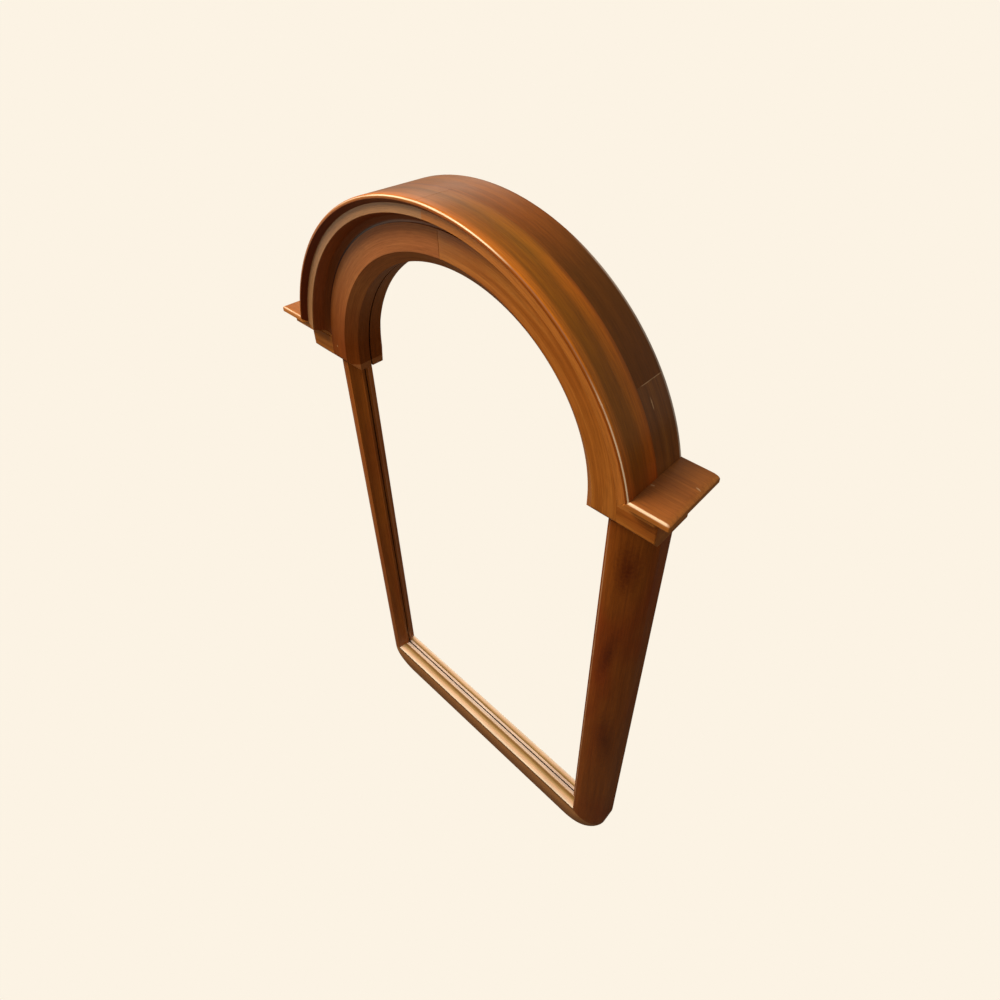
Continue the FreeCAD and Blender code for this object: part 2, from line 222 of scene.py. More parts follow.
# Pores, drawn 0.7 mm wide so that they show
PORES = Figure(70.0, 1400.0)
# How the edge of a band wanders, over about 110 mm
WAVER = Figure(9.0, 30.0)
# Gaps in a painted highlight line, about 30 mm long
GAPS = Figure(30.0, 300.0, 3.0)

# What a figure's noise is turned into: the noise from and to, then the value from and to
LINE_SHADE = (0.35, 0.65, 0.88, 1.08)
PORE_SHADE = (0.35, 0.55, 0.84, 1.03)
GAP_SHADE = (0.34, 0.5, 0.55, 1.0)
# Noise between which the red stain and the dulled sheen come in
STAIN_EDGE = (0.46, 0.68)
SHEEN_EDGE = (0.3, 0.7)
# Noise at which the three tones of the wood, and the two of a plain finish, are pure
WOOD_TONES = (0.22, 0.5, 0.78)
PLAIN_TONES = (0.35, 0.65)
# Share of a board's shift that goes across the grain
SHIFT_ACROSS = 0.37


def tint_along(graph: NodeGraph, length: Socket, stops: Sequence[Stop]) -> Node:
    """Adds a colour that changes along a length.

    Args:
        graph: The material's graph.
        length: Place along it, in metres.
        stops: Places in millimetres with their sRGB hex colours.

    Returns:
        A node whose first output is the colour.
    """
    first, last = stops[0][0], stops[-1][0]
    share = graph.add("ShaderNodeMapRange", (length, first * MM, last * MM, 0.0, 1.0))
    return graph.add("ShaderNodeValToRGB", (share,),
                     [((at - first) / (last - first), code) for at, code in stops])


@dataclass(frozen=True)
class Bands:
    """Tints that follow one another across a board, over the colour of its wood.

    The stops are places in millimetres along an axis with their colours, and the waver is how far they
    wander. Where only is given, the tint comes in from one place to another on its axis.
    """

    axis: Axis
    stops: tuple[Stop, ...]
    waver: float = 0.0
    only: Optional[tuple[Axis, float, float]] = None

    def over(self, graph: NodeGraph, grain: Socket, colour: Socket) -> Socket:
        """Tints the board.

        Args:
            graph: The material's graph.
            grain: Place along and across the grain, in metres.
            colour: The board's colour so far.

        Returns:
            The tinted colour.
        """
        parts = graph.add("ShaderNodeSeparateXYZ", (grain,)).outputs
        waver = self.waver * MM
        wander = graph.add("ShaderNodeMapRange", (WAVER.on(graph, grain), 0.0, 1.0, -waver, waver))
        tint = tint_along(graph, graph.add("ShaderNodeMath", (parts[self.axis.value], wander)), self.stops)
        amount: object = 1.0
        if self.only:
            axis, low, high = self.only
            amount = graph.add("ShaderNodeMapRange", (parts[axis.value], low * MM, high * MM, 0.0, 1.0))
        return graph.add("ShaderNodeMix", {0: amount, 6: colour, 7: tint},
                         data_type="RGBA", blend_type="MULTIPLY").outputs[2]


@dataclass(frozen=True)
class RubbedEdge:
    """A painted highlight along an edge, in a line that comes and goes.

    The line is its place across and through the board and the reach its half width, in millimetres. The
    showing gives places along the grain with how much of the line shows there, and the core is the share of
    the width that is painted at full strength.
    """

    line: Point2
    reach: float
    wear: tuple[Point2, ...]
    colour: str = "#f2d3b0"
    core: float = 0.4

    def over(self, graph: NodeGraph, grain: Socket, colour: Socket) -> Socket:
        """Paints the highlight along the edge.

        Args:
            graph: The material's graph.
            grain: Place along and across the grain, in metres.
            colour: The board's colour so far.

        Returns:
            The colour with the painted highlight.
        """
        parts = graph.add("ShaderNodeSeparateXYZ", (grain,)).outputs
        across = graph.add("ShaderNodeCombineXYZ", {"Y": parts["Y"], "Z": parts["Z"]})
        line = (0.0, self.line[0] * MM, self.line[1] * MM)
        away = graph.add("ShaderNodeVectorMath", (across, line), operation="DISTANCE").outputs["Value"]
        near = graph.add("ShaderNodeMapRange", (away, self.reach * self.core * MM, self.reach * MM, 1.0, 0.0))
        broken = graph.add("ShaderNodeMapRange", (GAPS.on(graph, grain), *GAP_SHADE))
        present = tint_along(graph, parts["X"], [(at, grey(amount)) for at, amount in self.wear])
        both = graph.add("ShaderNodeMath", (near, broken), operation="MULTIPLY")
        mask = graph.add("ShaderNodeMath", (both, present), operation="MULTIPLY")
        return graph.add("ShaderNodeMix", {0: mask, 6: colour, 7: srgb(self.colour)},
                         data_type="RGBA").outputs[2]


@dataclass(frozen=True)
class Mark:
    """A pale scratch or chip, or a darker patch: an ellipsoid with an uneven edge.

    Its place is in metres, its turn in degrees and its half sizes in millimetres. The fade is how much of its
    size the edge takes, and the strength how far its colour covers the wood. It ends where the way from its
    middle, in half sizes, and a noise 4 mm wide add up to the edge.
    """

    place: Place3
    turn: Place3
    reach: Place3
    colour: str = "#c79a6c"
    fade: float = 0.35
    strength: float = 0.8
    edge: float = 1.6
    unevenness: float = 260.0

    def over(self, graph: NodeGraph, _grain: Socket, colour: Socket) -> Socket:
        """Lays the mark over the board.

        Args:
            graph: The material's graph.
            _grain: Not needed, since a mark has its place on the object.
            colour: The board's colour so far.

        Returns:
            The marked colour.
        """
        place = graph.add("ShaderNodeTexCoord").outputs["Object"]
        shaky = graph.add("ShaderNodeTexNoise", {"Vector": place, "Scale": self.unevenness, "Detail": 2.0})
        turn = tuple(math.radians(a) for a in self.turn)
        local = graph.add("ShaderNodeMapping", (place, self.place, turn, tuple(r * MM for r in self.reach)),
                          vector_type="TEXTURE")
        away = graph.add("ShaderNodeVectorMath", (local,), operation="LENGTH").outputs["Value"]
        rough = graph.add("ShaderNodeMath", (away, shaky))
        mask = graph.add("ShaderNodeMapRange", (rough, self.edge - self.fade, self.edge, self.strength, 0.0))
        return graph.add("ShaderNodeMix", {0: mask, 6: colour, 7: srgb(self.colour)},
                         data_type="RGBA").outputs[2]


@dataclass(frozen=True)
class Finish:
    """A finish, named for what the real one is."""

    name: str

    def material(self) -> bpy.types.Material:
        """Builds the finish.

        Returns:
            A material with one shader.
        """
        material = bpy.data.materials.new(self.name)
        graph = empty_graph(material)
        graph.add("ShaderNodeOutputMaterial", (graph.add("ShaderNodeBsdfPrincipled", self.surface(graph)),))
        return material

    def surface(self, graph: NodeGraph) -> dict[str, object]:
        """The shader's inputs."""
        raise NotImplementedError


@dataclass(frozen=True)
class HardwoodFinish(Finish):
    """Red-brown hardwood under a rubbed varnish: deep colour with a soft sheen on top.

    It reads the board's own grain attribute, in metres along and across it. The shift, in metres, gives each
    board its own figure.
    """

    shift: float
    dark: str = "#83450f"
    middle: str = "#9b581c"
    light: str = "#b06c2a"
    red: str = "#8c3f12"
    redness: float = 0.4
    roughness: float = 0.34
    sheen_spread: Point2 = (-0.06, 0.08)
    specular: float = 0.42
    coat: float = 0.08
    coat_roughness: float = 0.14
    sheen_tint: str = "#ffd8a4"
    pore_depth: float = 0.4
    pore_strength: float = 0.06
    touches: tuple[Union[Bands, RubbedEdge, Mark], ...] = ()

    def surface(self, graph: NodeGraph) -> dict[str, object]:
        """Colours the wood and dulls its varnish.

        Args:
            graph: The material's graph.

        Returns:
            The shader's inputs.
        """
        grain = graph.add("ShaderNodeAttribute", attribute_name="grain",
                          attribute_type="GEOMETRY").outputs["Vector"]
        shift = (self.shift, self.shift * SHIFT_ACROSS, 0.0)
        board = graph.add("ShaderNodeMapping", (grain, shift)).outputs["Vector"]
        streak, stain, line, pore = (figure.on(graph, board)
                                     for figure in (STREAKS, STAINS, GRAIN_LINES, PORES))
        tones = tuple(zip(WOOD_TONES, (self.dark, self.middle, self.light)))
        wood = graph.add("ShaderNodeValToRGB", (streak,), tones)
        reddish = graph.add("ShaderNodeMapRange", (stain, *STAIN_EDGE, 0.0, self.redness))
        stained = graph.add("ShaderNodeMix", {0: reddish, 6: wood, 7: srgb(self.red)},
                            data_type="RGBA").outputs[2]
        lines = graph.add("ShaderNodeMapRange", (line, *LINE_SHADE))
        pores = graph.add("ShaderNodeMapRange", (pore, *PORE_SHADE))
        shade = graph.add("ShaderNodeMath", (lines, pores), operation="MULTIPLY")
        colour = graph.add("ShaderNodeVectorMath", (stained, shade), operation="MULTIPLY").outputs["Vector"]
        for touch in self.touches:
            colour = touch.over(graph, grain, colour)
        dullness = [self.roughness + spread for spread in self.sheen_spread]
        return {
            "Base Color": colour,
            "Normal": graph.add("ShaderNodeBump", {"Height": pore, "Strength": self.pore_strength,
                                                   "Distance": self.pore_depth * MM}),
            "Roughness": graph.add("ShaderNodeMapRange", (stain, *SHEEN_EDGE, *dullness)),
            "Specular IOR Level": self.specular,
            "Specular Tint": srgb(self.sheen_tint),
            "Coat Weight": self.coat,
            "Coat Roughness": self.coat_roughness,
        }


@dataclass(frozen=True)
class PlainFinish(Finish):
    """A plain finish with a faint mottle, in cycles per metre."""

    dark: str
    light: str
    mottle: float
    roughness: float
    metallic: float = 0.0
    bump: float = 0.1
    grit: float = 0.5
    detail: float = 4.0

    def surface(self, graph: NodeGraph) -> dict[str, object]:
        """Mottles the finish on Object coordinates.

        Args:
            graph: The material's graph.

        Returns:
            The shader's inputs.
        """
        place = graph.add("ShaderNodeTexCoord").outputs["Object"]
        noise = graph.add("ShaderNodeTexNoise", {"Vector": place, "Scale": self.mottle,
                                                 "Detail": self.detail})
        tones = tuple(zip(PLAIN_TONES, (self.dark, self.light)))
        return {
            "Base Color": graph.add("ShaderNodeValToRGB", (noise,), tones),
            "Normal": graph.add("ShaderNodeBump", {"Height": noise, "Strength": self.bump,
                                                   "Distance": self.grit * MM}),
            "Roughness": self.roughness,
            "Metallic": self.metallic,
        }


@dataclass(frozen=True)
class MirrorFinish(Finish):
    """Silvering on the back of float glass: a clean bright reflection."""

    name: str = "silvered_glass"

    def surface(self, _graph: NodeGraph) -> dict[str, object]:
        """The shader's inputs."""
        return {"Base Color": srgb("#ffffff"), "Metallic": 1.0, "Roughness": 0.0}


# Sections and meshes

@dataclass(frozen=True)
class Corner:
    """A corner of a moulding's section, in millimetres, with its rounding and the sag of the next edge."""

    across: float
    depth: float
    radius: float = 0.0
    sag: float = 0.0

    @property
    def at(self) -> Vector:
        """The corner's place on the section."""
        return Vector((self.across, self.depth))

    def points(self, before: "Corner", after: "Corner", steps: int) -> list[Point2]:
        """The corner itself, or the arc that rounds it.

        Args:
            before: The corner before it.
            after: The corner after it.
            steps: Segments in the arc.

        Returns:
            Points of the outline, in millimetres.
        """
        if not self.radius:
            return [tuple(self.at)]
        back, on = (before.at - self.at).normalized(), (after.at - self.at).normalized()
        half = back.angle(on) / 2
        run = self.radius / math.tan(half)
        centre = self.at + (back + on).normalized() * (self.radius / math.sin(half))
        start, end = self.at + back * run - centre, self.at + on * run - centre
        arc = []
        for k in range(steps + 1):
            spoke = start.copy()
            spoke.rotate(Matrix.Rotation(-start.angle_signed(end) * k / steps, 2))
            arc.append(tuple(centre + spoke))
        return arc


def rounded(corners: Sequence[Corner], steps: int = 5) -> list[Point2]:
    """Turns a section's corners into points, with arcs for roundings and sagging edges.

    Args:
        corners: The section, in order.
        steps: Segments in each arc.

    Returns:
        Points of the closed outline, in millimetres.
    """
    count = len(corners)
    arcs = [corner.points(corners[i - 1], corners[(i + 1) % count], steps)
            for i, corner in enumerate(corners)]
    outline: list[Point2] = []
    for i, arc in enumerate(arcs):
        outline += arc
        if corners[i].sag:
            outline += sagging(Vector(arc[-1]), Vector(arcs[(i + 1) % count][0]), corners[i].sag)
    return outline


def sagging(start: Vector, end: Vector, sag: float, steps: int = 8) -> list[Point2]:
    """Points between two ends on a shallow arc.

    Args:
        start: First end.
        end: Second end.
        sag: How far the arc leaves the straight line, to the right of the way.
        steps: Segments in the arc.

    Returns:
        The inner points of the arc.
    """
    chord = end - start
    side = Vector((chord.y, -chord.x)).normalized()
    shares = [k / steps for k in range(1, steps)]
    return [tuple(start + chord * t + side * (sag * 4 * t * (1 - t))) for t in shares]


def quarter(steps: int) -> list[Point2]:
    """Cosine and sine of every angle of a quarter turn in even steps."""
    angles = [math.pi / 2 * k / steps for k in range(steps + 1)]
    return [(math.cos(a), math.sin(a)) for a in angles]


def place(x: float, depth: float, z: float) -> Vector:
    """Point in metres from a sideways place, a depth before the back plane and a height, in millimetres."""
    return Vector((x, -depth, z)) * MM


def sideways(point: Vector) -> Vector:
    """Place along and across the grain of a board that lies across the mirror."""
    return Vector((point.x, point.z, point.y))


def upright(point: Vector) -> Vector:
    """Place along and across the grain of a board that stands."""
    return Vector((point.z, point.x, point.y))


def curved(radius: float) -> Callable[[Vector], Vector]:
    """Grain that follows the arch.

    Args:
        radius: Radius at which the length along the grain is true, in millimetres.

    Returns:
        A function from a point in metres to its place along and across the grain.
    """
    return lambda p: Vector((math.atan2(p.z, p.x) * radius * MM, math.hypot(p.x, p.z), p.y))


def hand_over(piece: Object, node: str, hard_edge: float) -> None:
    """Shades a piece smooth up to its hard edges and lets it stand for a CAD node of the frame.

    Args:
        piece: The finished piece.
        node: The CAD node.
        hard_edge: Angle from which an edge stays hard, in degrees.
    """
    piece.data.shade_smooth()
    piece.data.set_sharp_from_angle(angle=math.radians(hard_edge))
    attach(piece, "frame")
    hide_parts(node)
    LOG.info("%s: %d faces", piece.name, len(piece.data.polygons))


def make_piece(node: str, mesh: BMesh, grain: Callable[[Vector], Vector], finish: Finish,
               kind: str = "wood") -> Object:
    """Turns a bmesh into a piece with its finish.

    Args:
        node: The CAD node.
        mesh: Its geometry, in metres.
        grain: Function from a point to its place along and across the grain.
        finish: Its finish.
        kind: What it is, which ends its name.

    Returns:
        The new object.
    """
    bmesh.ops.remove_doubles(mesh, verts=mesh.verts, dist=WELD)
    bmesh.ops.recalc_face_normals(mesh, faces=mesh.faces)
    piece = mesh_object(f"{node}_{kind}", mesh)
    attribute = piece.data.attributes.new("grain", "FLOAT_VECTOR", "POINT")
    for i, vertex in enumerate(piece.data.vertices):
        attribute.data[i].vector = grain(vertex.co)
    piece.data.materials.append(finish.material())
    piece.modifiers.new("even_normals", "WEIGHTED_NORMAL").keep_sharp = True
    hand_over(piece, node, hard_edge=28.0)
    return piece


def turned(section: Sequence[Point2], angle_from: float, angle_to: float, step: float = 2.0) -> BMesh:
    """Turns a section about the centre of the arch.

    Args:
        section: Radius and depth of each point, in millimetres.
        angle_from: First angle from +X upwards, in degrees.
        angle_to: Last angle.
        step: Angle between rows.

    Returns:
        The closed ring part.
    """
    mesh = bmesh.new()
    rows = round((angle_to - angle_from) / step)
    grid = []
    for i in range(rows + 1):
        angle = math.radians(angle_from + (angle_to - angle_from) * i / rows)
        grid.append([mesh.verts.new(place(r * math.cos(angle), d, r * math.sin(angle))) for r, d in section])
    close_grid(mesh, grid)
    return mesh


def close_grid(mesh: BMesh, grid: Sequence[Sequence[bmesh.types.BMVert]]) -> None:
    """Joins rows of section points and caps both ends.

    Args:
        mesh: The mesh that they are in.
        grid: The rows.
    """
    count = len(grid[0])
    for row, follow in zip(grid, grid[1:]):
        for j in range(count):
            k = (j + 1) % count
            mesh.faces.new((row[j], row[k], follow[k], follow[j]))
    mesh.faces.new(list(grid[0]))
    mesh.faces.new(list(reversed(grid[-1])))


def cut(mesh: BMesh, point: Vector, normal: Vector) -> None:
    """Removes what lies on the normal's side of a plane and closes the cut.

    Args:
        mesh: The mesh to trim.
        point: A point on the plane, in metres.
        normal: The plane's normal, pointing at what goes.
    """
    bmesh.ops.bisect_plane(mesh, geom=mesh.verts[:] + mesh.edges[:] + mesh.faces[:], dist=ON_PLANE,
                           plane_co=point, plane_no=normal, clear_outer=True)
    bmesh.ops.holes_fill(mesh, edges=[e for e in mesh.edges if e.is_boundary])


def close_crown(mesh: BMesh, touching: Callable[[Vector], bool]) -> None:
    """Lets the halves of an arch touch at the crown, so that no light comes through their joint.

    Args:
        mesh: The right half.
        touching: Says of a point in metres whether it lies where they touch.
    """
    for vert in mesh.verts:
        if abs(vert.co.x) < MM and touching(vert.co):
            vert.co.x = 0.0


# The frame's own parts

@dataclass
class Mouldings:
    """Sizes shared by the hood, ears, arch face, imposts and frame, in millimetres."""

    hood_radius: float = 300.0
    hood_depth: float = 98.0
    split_depth: float = 46.0
    rim_width: float = 10.5
    nose_radius: float = 4.0
    rim_step: float = 8.0
    rim_lean: float = 5.6
    fascia_width: float = 11.0
    soffit_taper: float = 5.0
    soffit_rise: float = 17.0
    cove_width: float = 10.0
    cove_sag: float = 1.6
    quirk_depth: float = 1.5
    joint_angle: float = 32.5
    face_width: float = 33.5
    face_depth: float = 70.0
    bevel_width: float = 15.0
    bevel_fall: float = 12.5
    ear_height: float = 70.0
    ear_reach: float = 38.7
    ear_return: float = 2.4
    impost_bottom: float = 4.0
    impost_reach: float = 13.5
    glass_depth: float = 38.5
    glass_thickness: float = 4.0
    rebate_half_width: float = 247.7
    rebate_drop: float = 757.1
    arris: float = 0.7
    edge_softness: float = 0.245
    soffit_softness: float = 0.4
    fascia_softness: float = 0.3
    rim_softness: float = 1.0
    joint_clearance: float = 0.1

    @property
    def arch_outer(self) -> float:
        """Outer radius of the arch face."""
        return self.hood_radius - self.rim_width - self.fascia_width - self.soffit_taper - self.cove_width

    @property
    def ear_bottom(self) -> float:
        """Height of the underside of the ears."""
        return self.ear_height - (self.hood_radius - self.arch_outer)

    @property
    def opening(self) -> float:
        """Radius of the arch's soffit."""
        return self.arch_outer - self.face_width - self.bevel_width

    @property
    def foot_bottom(self) -> float:
        """Height of the underside of the feet, below their bevelled front edge."""
        return self.impost_bottom - self.bevel_width

    def trim_foot(self, mesh: BMesh) -> None:
        """Cuts a foot level underneath and carries the arch face's bevel along its front edge.

        Args:
            mesh: The piece with the foot.
        """
        edge = self.face_depth - self.bevel_fall
        down, front = Vector((0, 0, -1)), Vector((0, -1, 0))
        slope = Vector((0, -self.bevel_width, -self.bevel_fall)).normalized()
        low, high = place(0, edge, self.foot_bottom), place(0, self.face_depth, self.impost_bottom)
        cut(mesh, low, down)
        cut(mesh, low, slope)
        for point, one, other in ((low, down, slope), (high, slope, front)):
            between = (one + other).normalized()
            cut(mesh, point - between * (self.edge_softness * MM), between)

    def hood_section(self, back: float) -> list[Corner]:
        """Section of the hood's moulding.

        Args:
            back: Depth of its back, from which it runs forwards.

        Returns:
            Its corners, with radius and depth.
        """
        step = self.arch_outer + self.cove_width
        fascia = step + self.soffit_taper
        rim = fascia + self.fascia_width
        front = self.hood_depth - self.rim_step
        return [
            Corner(self.arch_outer, back),
            Corner(self.arch_outer, self.face_depth - self.quirk_depth, 0.0, self.cove_sag),
            Corner(step, front - self.soffit_rise, self.soffit_softness),
            Corner(fascia, front, self.arris),
            Corner(rim, front, self.fascia_softness),
            Corner(rim + self.rim_lean, self.hood_depth, self.rim_softness),
            Corner(self.hood_radius, self.hood_depth, self.nose_radius),
            Corner(self.hood_radius, back),
        ]

    def mitre(self) -> tuple[Vector, Vector]:
        """The plane between hood and right ear.

        Returns:
            A point on it in metres, and its normal towards the ear.
        """
        top = Vector((math.sqrt(self.hood_radius ** 2 - self.ear_height ** 2), 0, self.ear_height))
        foot = Vector((math.sqrt(self.arch_outer ** 2 - self.ear_bottom ** 2), 0, self.ear_bottom))
        way = (top - foot).normalized()
        return foot * MM, Vector((way.z, 0, -way.x))


class Side(Enum):
    """Left or right half of the mirror."""

    RIGHT = 1
    LEFT = -1

    @property
    def word(self) -> str:
        """The side's word in the nodes' names."""
        return self.name.lower()

    def pick(self, right: Choice, left: Choice) -> Choice:
        """The value for this side."""
        return right if self is Side.RIGHT else left

    def turn(self, vector: Vector) -> Vector:
        """A right-hand vector on this side."""
        return Vector((vector.x * self.value, vector.y, vector.z))

    def mirror(self, mesh: BMesh) -> BMesh:
        """Puts a right-hand mesh on this side.

        Args:
            mesh: The mesh, which is changed.

        Returns:
            The same mesh.
        """
        bmesh.ops.scale(mesh, vec=(self.value, 1, 1), verts=mesh.verts)
        return mesh


@dataclass
class Part:
    """A sub-assembly of the frame, with the sizes that they all share."""

    sizes: Mouldings = field(default_factory=Mouldings)


@dataclass
class Hood(Part):
    """The projecting outer arch: a front layer in two halves over a back layer in three.

    The front halves stand a hair apart at the crown, down to the open depth in millimetres; the gap is an
    angle in degrees.
    """

    crown_gap: float = 0.03
    open_depth: float = 1.5
    # Painted reflection: lighter and darker bands across the depth of the front layer's outside
    outside_bands: Bands = Bands(Axis.THROUGH, (
        (-46.0, "#c0a644"), (-51.0, "#ecd04a"), (-60.0, "#e2cd48"), (-68.0, "#b8ae3c"), (-84.0, "#b9b13a"),
        (-91.0, "#ecd868")), 4.0, (Axis.ACROSS, 297.2, 299.2))
    crown_tint: Bands = Bands(Axis.ALONG, (
        (290.0, "#ffffff"), (340.0, "#d8ecf0"), (430.0, "#ccdce4"), (480.0, "#c4d0d8")),
        6.0, (Axis.THROUGH, -76.0, -64.0))
    foot_tint: Bands = Bands(Axis.ALONG, ((60.0, "#d4acc8"), (150.0, "#ffffff")),
                             8.0, (Axis.ACROSS, 297.2, 299.2))
    # Painted shadow: a dark line in the hollow beside the arch face, on the left past the crown
    quirk_bands: Bands = Bands(Axis.ACROSS, (
        (263.0, "#641e14"), (265.8, "#641e14"), (267.0, "#ffffff"), (300.0, "#ffffff")),
        0.0, (Axis.ALONG, 520.0, 620.0))
    # Painted highlight along the rim's nose: strong low on the right and over the crown, faint between,
    # fading out on the left
    nose_wear: RubbedEdge = RubbedEdge((298.6, -97.2), 1.1, (
        (15.0, 0.85), (60.0, 0.95), (160.0, 0.85), (210.0, 0.35), (330.0, 0.3), (365.0, 0.9), (520.0, 0.95),
        (640.0, 0.45), (720.0, 0.0)), "#fadcb4")
    # Painted highlight along the back edge of the outside, on the right of the arch
    back_wear: RubbedEdge = RubbedEdge((299.5, -0.5), 2.8, (
        (50.0, 0.0), (75.0, 0.9), (170.0, 0.7), (300.0, 0.7), (345.0, 0.0)), "#ecdcc8")
    # Painted shade: the back layer's crown lighter at the top, darker and greyer down to its right joint
    crown_bands: Bands = Bands(Axis.ALONG, (
        (170.0, "#d4c4b4"), (300.0, "#c8c0b0"), (380.0, "#f8e0c0"), (560.0, "#ffffff")), 8.0)
    # A scratch on the right foot of the back layer, and the chipped varnish along its upper joint
    foot_marks: tuple[Mark, ...] = (
        Mark((0.2645, -0.0312, 0.1425), (0, -28, 0), (1.0, 0.9, 8.0)),
        Mark((0.2531, -0.0280, 0.1612), (0, 32.5, 0), (1.2, 11.0, 0.7)),
        Mark((0.2531, -0.0110, 0.1612), (0, 32.5, 0), (1.2, 9.0, 0.6)))

    def build(self) -> None:
        """Makes all pieces of the hood."""
        s = self.sizes
        for side in Side:
            self.front(side)
            self.back(side)
        crown = turned(self.back_section(), s.joint_angle, 180 - s.joint_angle)
        finish = HardwoodFinish(
            "hood_crown_hardwood", 3.1, dark="#784a16", middle="#865018", light="#945a1c", redness=0.1,
            specular=0.25, coat=0.0, touches=(self.crown_bands, self.back_wear))
        make_piece("hood_back_crown", crown, curved(s.hood_radius), finish)

    def back_section(self) -> list[Point2]:
        """Section of the back layer."""
        inner, outer, depth = self.sizes.arch_outer, self.sizes.hood_radius, self.sizes.split_depth
        return [(inner, 0), (inner, depth), (outer, depth), (outer, 0)]

    def front(self, side: Side) -> None:
        """Makes one half of the front layer.

        Args:
            side: The half's side.
        """
        s = self.sizes
        mesh = turned(rounded(s.hood_section(s.split_depth)), 0, 90 - self.crown_gap)
        close_crown(mesh, lambda p: p.z < (s.hood_radius - self.open_depth) * MM)
        cut(mesh, *s.mitre())
        finish = HardwoodFinish(
            f"hood_front_{side.word}_hardwood", 0.7, dark="#bb723e", middle="#c77a4a", light="#d2844e",
            red="#b86a3c", redness=0.2, specular=0.34,
            touches=(self.outside_bands, self.crown_tint, self.foot_tint, self.moulding_bands(side),
                     self.quirk_bands, self.nose_wear))
        make_piece(f"hood_front_{side.word}", side.mirror(mesh), curved(s.hood_radius), finish)

    def moulding_bands(self, side: Side) -> Bands:
        """Tints of the moulding from the hollow out to the nose, with painted sheen that makes the fascia and
        front greyer on the left.

        Args:
            side: The half's side.

        Returns:
            The tints, which leave the outside of the hood alone.
        """
        # Painted sheen: the left half's fascia and front tints are greyer than the right's
        fascia, lean, front, nose = side.pick(("#dbd596", "#9c6c40", "#b0983e", "#c4b060"),
                                              ("#d4f4ff", "#8c5c40", "#b9b266", "#c4be74"))
        return Bands(Axis.ACROSS, (
            (263.5, "#bb9566"), (272.5, "#a98862"), (277.8, "#b28f68"), (279.0, fascia), (289.4, fascia),
            (290.0, "#84533a"), (294.6, lean), (297.0, front), (298.6, nose), (299.4, "#ffffff")))

    def back(self, side: Side) -> None:
        """Makes one foot of the back layer.

        Args:
            side: The foot's side.
        """
        s = self.sizes
        mesh = turned(self.back_section(), 0, s.joint_angle)
        cut(mesh, *s.mitre())
        finish = HardwoodFinish(f"hood_foot_{side.word}_hardwood", side.pick(7.7, 9.4), dark="#66380f",
                                middle="#784314", light="#88501b", redness=0.2,
                                touches=(self.back_wear,) + side.pick(self.foot_marks, ()))
        make_piece(f"hood_back_{side.word}", side.mirror(mesh), curved(s.hood_radius), finish)


@dataclass
class ArchFace(Part):
    """The inner arch with its wide face and bevel.

    Its halves stand a hair apart at the crown, where the joint has opened; the gap is an angle in degrees.
    They touch behind the glass, up to the touching margin before it.
    """

    crown_gap: float = 0.08
    touching_margin: float = 1.0
    foot_allowance: float = 2.0
    outer_softness: float = 0.3
    # Painted shade: the left half darker toward its foot
    left_foot_bands: Bands = Bands(Axis.ALONG, ((570.0, "#ffffff"), (690.0, "#c8a878")), 6.0)
    left_foot_chip: Mark = Mark((-0.2496, -0.070, 0.0230), (0, 0, 0), (0.9, 1.0, 1.3))

    def build(self) -> None:
        """Makes both halves."""
        s = self.sizes
        inner = s.arch_outer - s.face_width
        outer = s.arch_outer - s.joint_clearance
        section = rounded([
            Corner(s.opening, s.glass_depth),
            Corner(s.opening, s.face_depth - s.bevel_fall, s.arris),
            Corner(inner, s.face_depth, s.arris),
            Corner(outer, s.face_depth, self.outer_softness),
            Corner(outer, 0),
            Corner(s.rebate_half_width, 0),
            Corner(s.rebate_half_width, s.glass_depth),
        ])
        for side in Side:
            mesh = turned(section, 0, 90 - self.crown_gap)
            self.lengthen(mesh)
            close_crown(mesh, lambda p: -p.y < (s.glass_depth + self.touching_margin) * MM)
            s.trim_foot(mesh)
            name = f"arch_face_{side.word}_hardwood"
            if side is Side.RIGHT:
                finish = HardwoodFinish(name, 11.3)
            else:
                # The left half is painted pinker and a little paler than the right, as painted sheen, and
                # darker toward its foot as painted shade
                finish = HardwoodFinish(
                    name, 13.9, dark="#94562a", middle="#a26232", light="#ae6c3a", red="#9c5430",
                    redness=0.25, specular=0.12, coat=0.0,
                    touches=(self.left_foot_bands, self.left_foot_chip))
            make_piece(f"arch_face_{side.word}", side.mirror(mesh), curved(inner), finish)

    def lengthen(self, mesh: BMesh) -> None:
        """Carries the right foot straight down below the centre of the arch.

        Args:
            mesh: The right half.
        """
        foot = [v for v in mesh.verts if abs(v.co.z) < ON_PLANE]
        rim = [e for e in mesh.edges if e.verts[0] in foot and e.verts[1] in foot]
        old = [f for f in mesh.faces if all(v in foot for v in f.verts)]
        bmesh.ops.delete(mesh, geom=old, context="FACES_ONLY")
        grown = bmesh.ops.extrude_edge_only(mesh, edges=rim)["geom"]
        moved = [v for v in grown if isinstance(v, bmesh.types.BMVert)]
        drop = (self.sizes.foot_bottom - self.foot_allowance) * MM
        bmesh.ops.translate(mesh, vec=(0, 0, drop), verts=moved)
        bmesh.ops.holes_fill(mesh, edges=[e for e in mesh.edges if e.is_boundary])


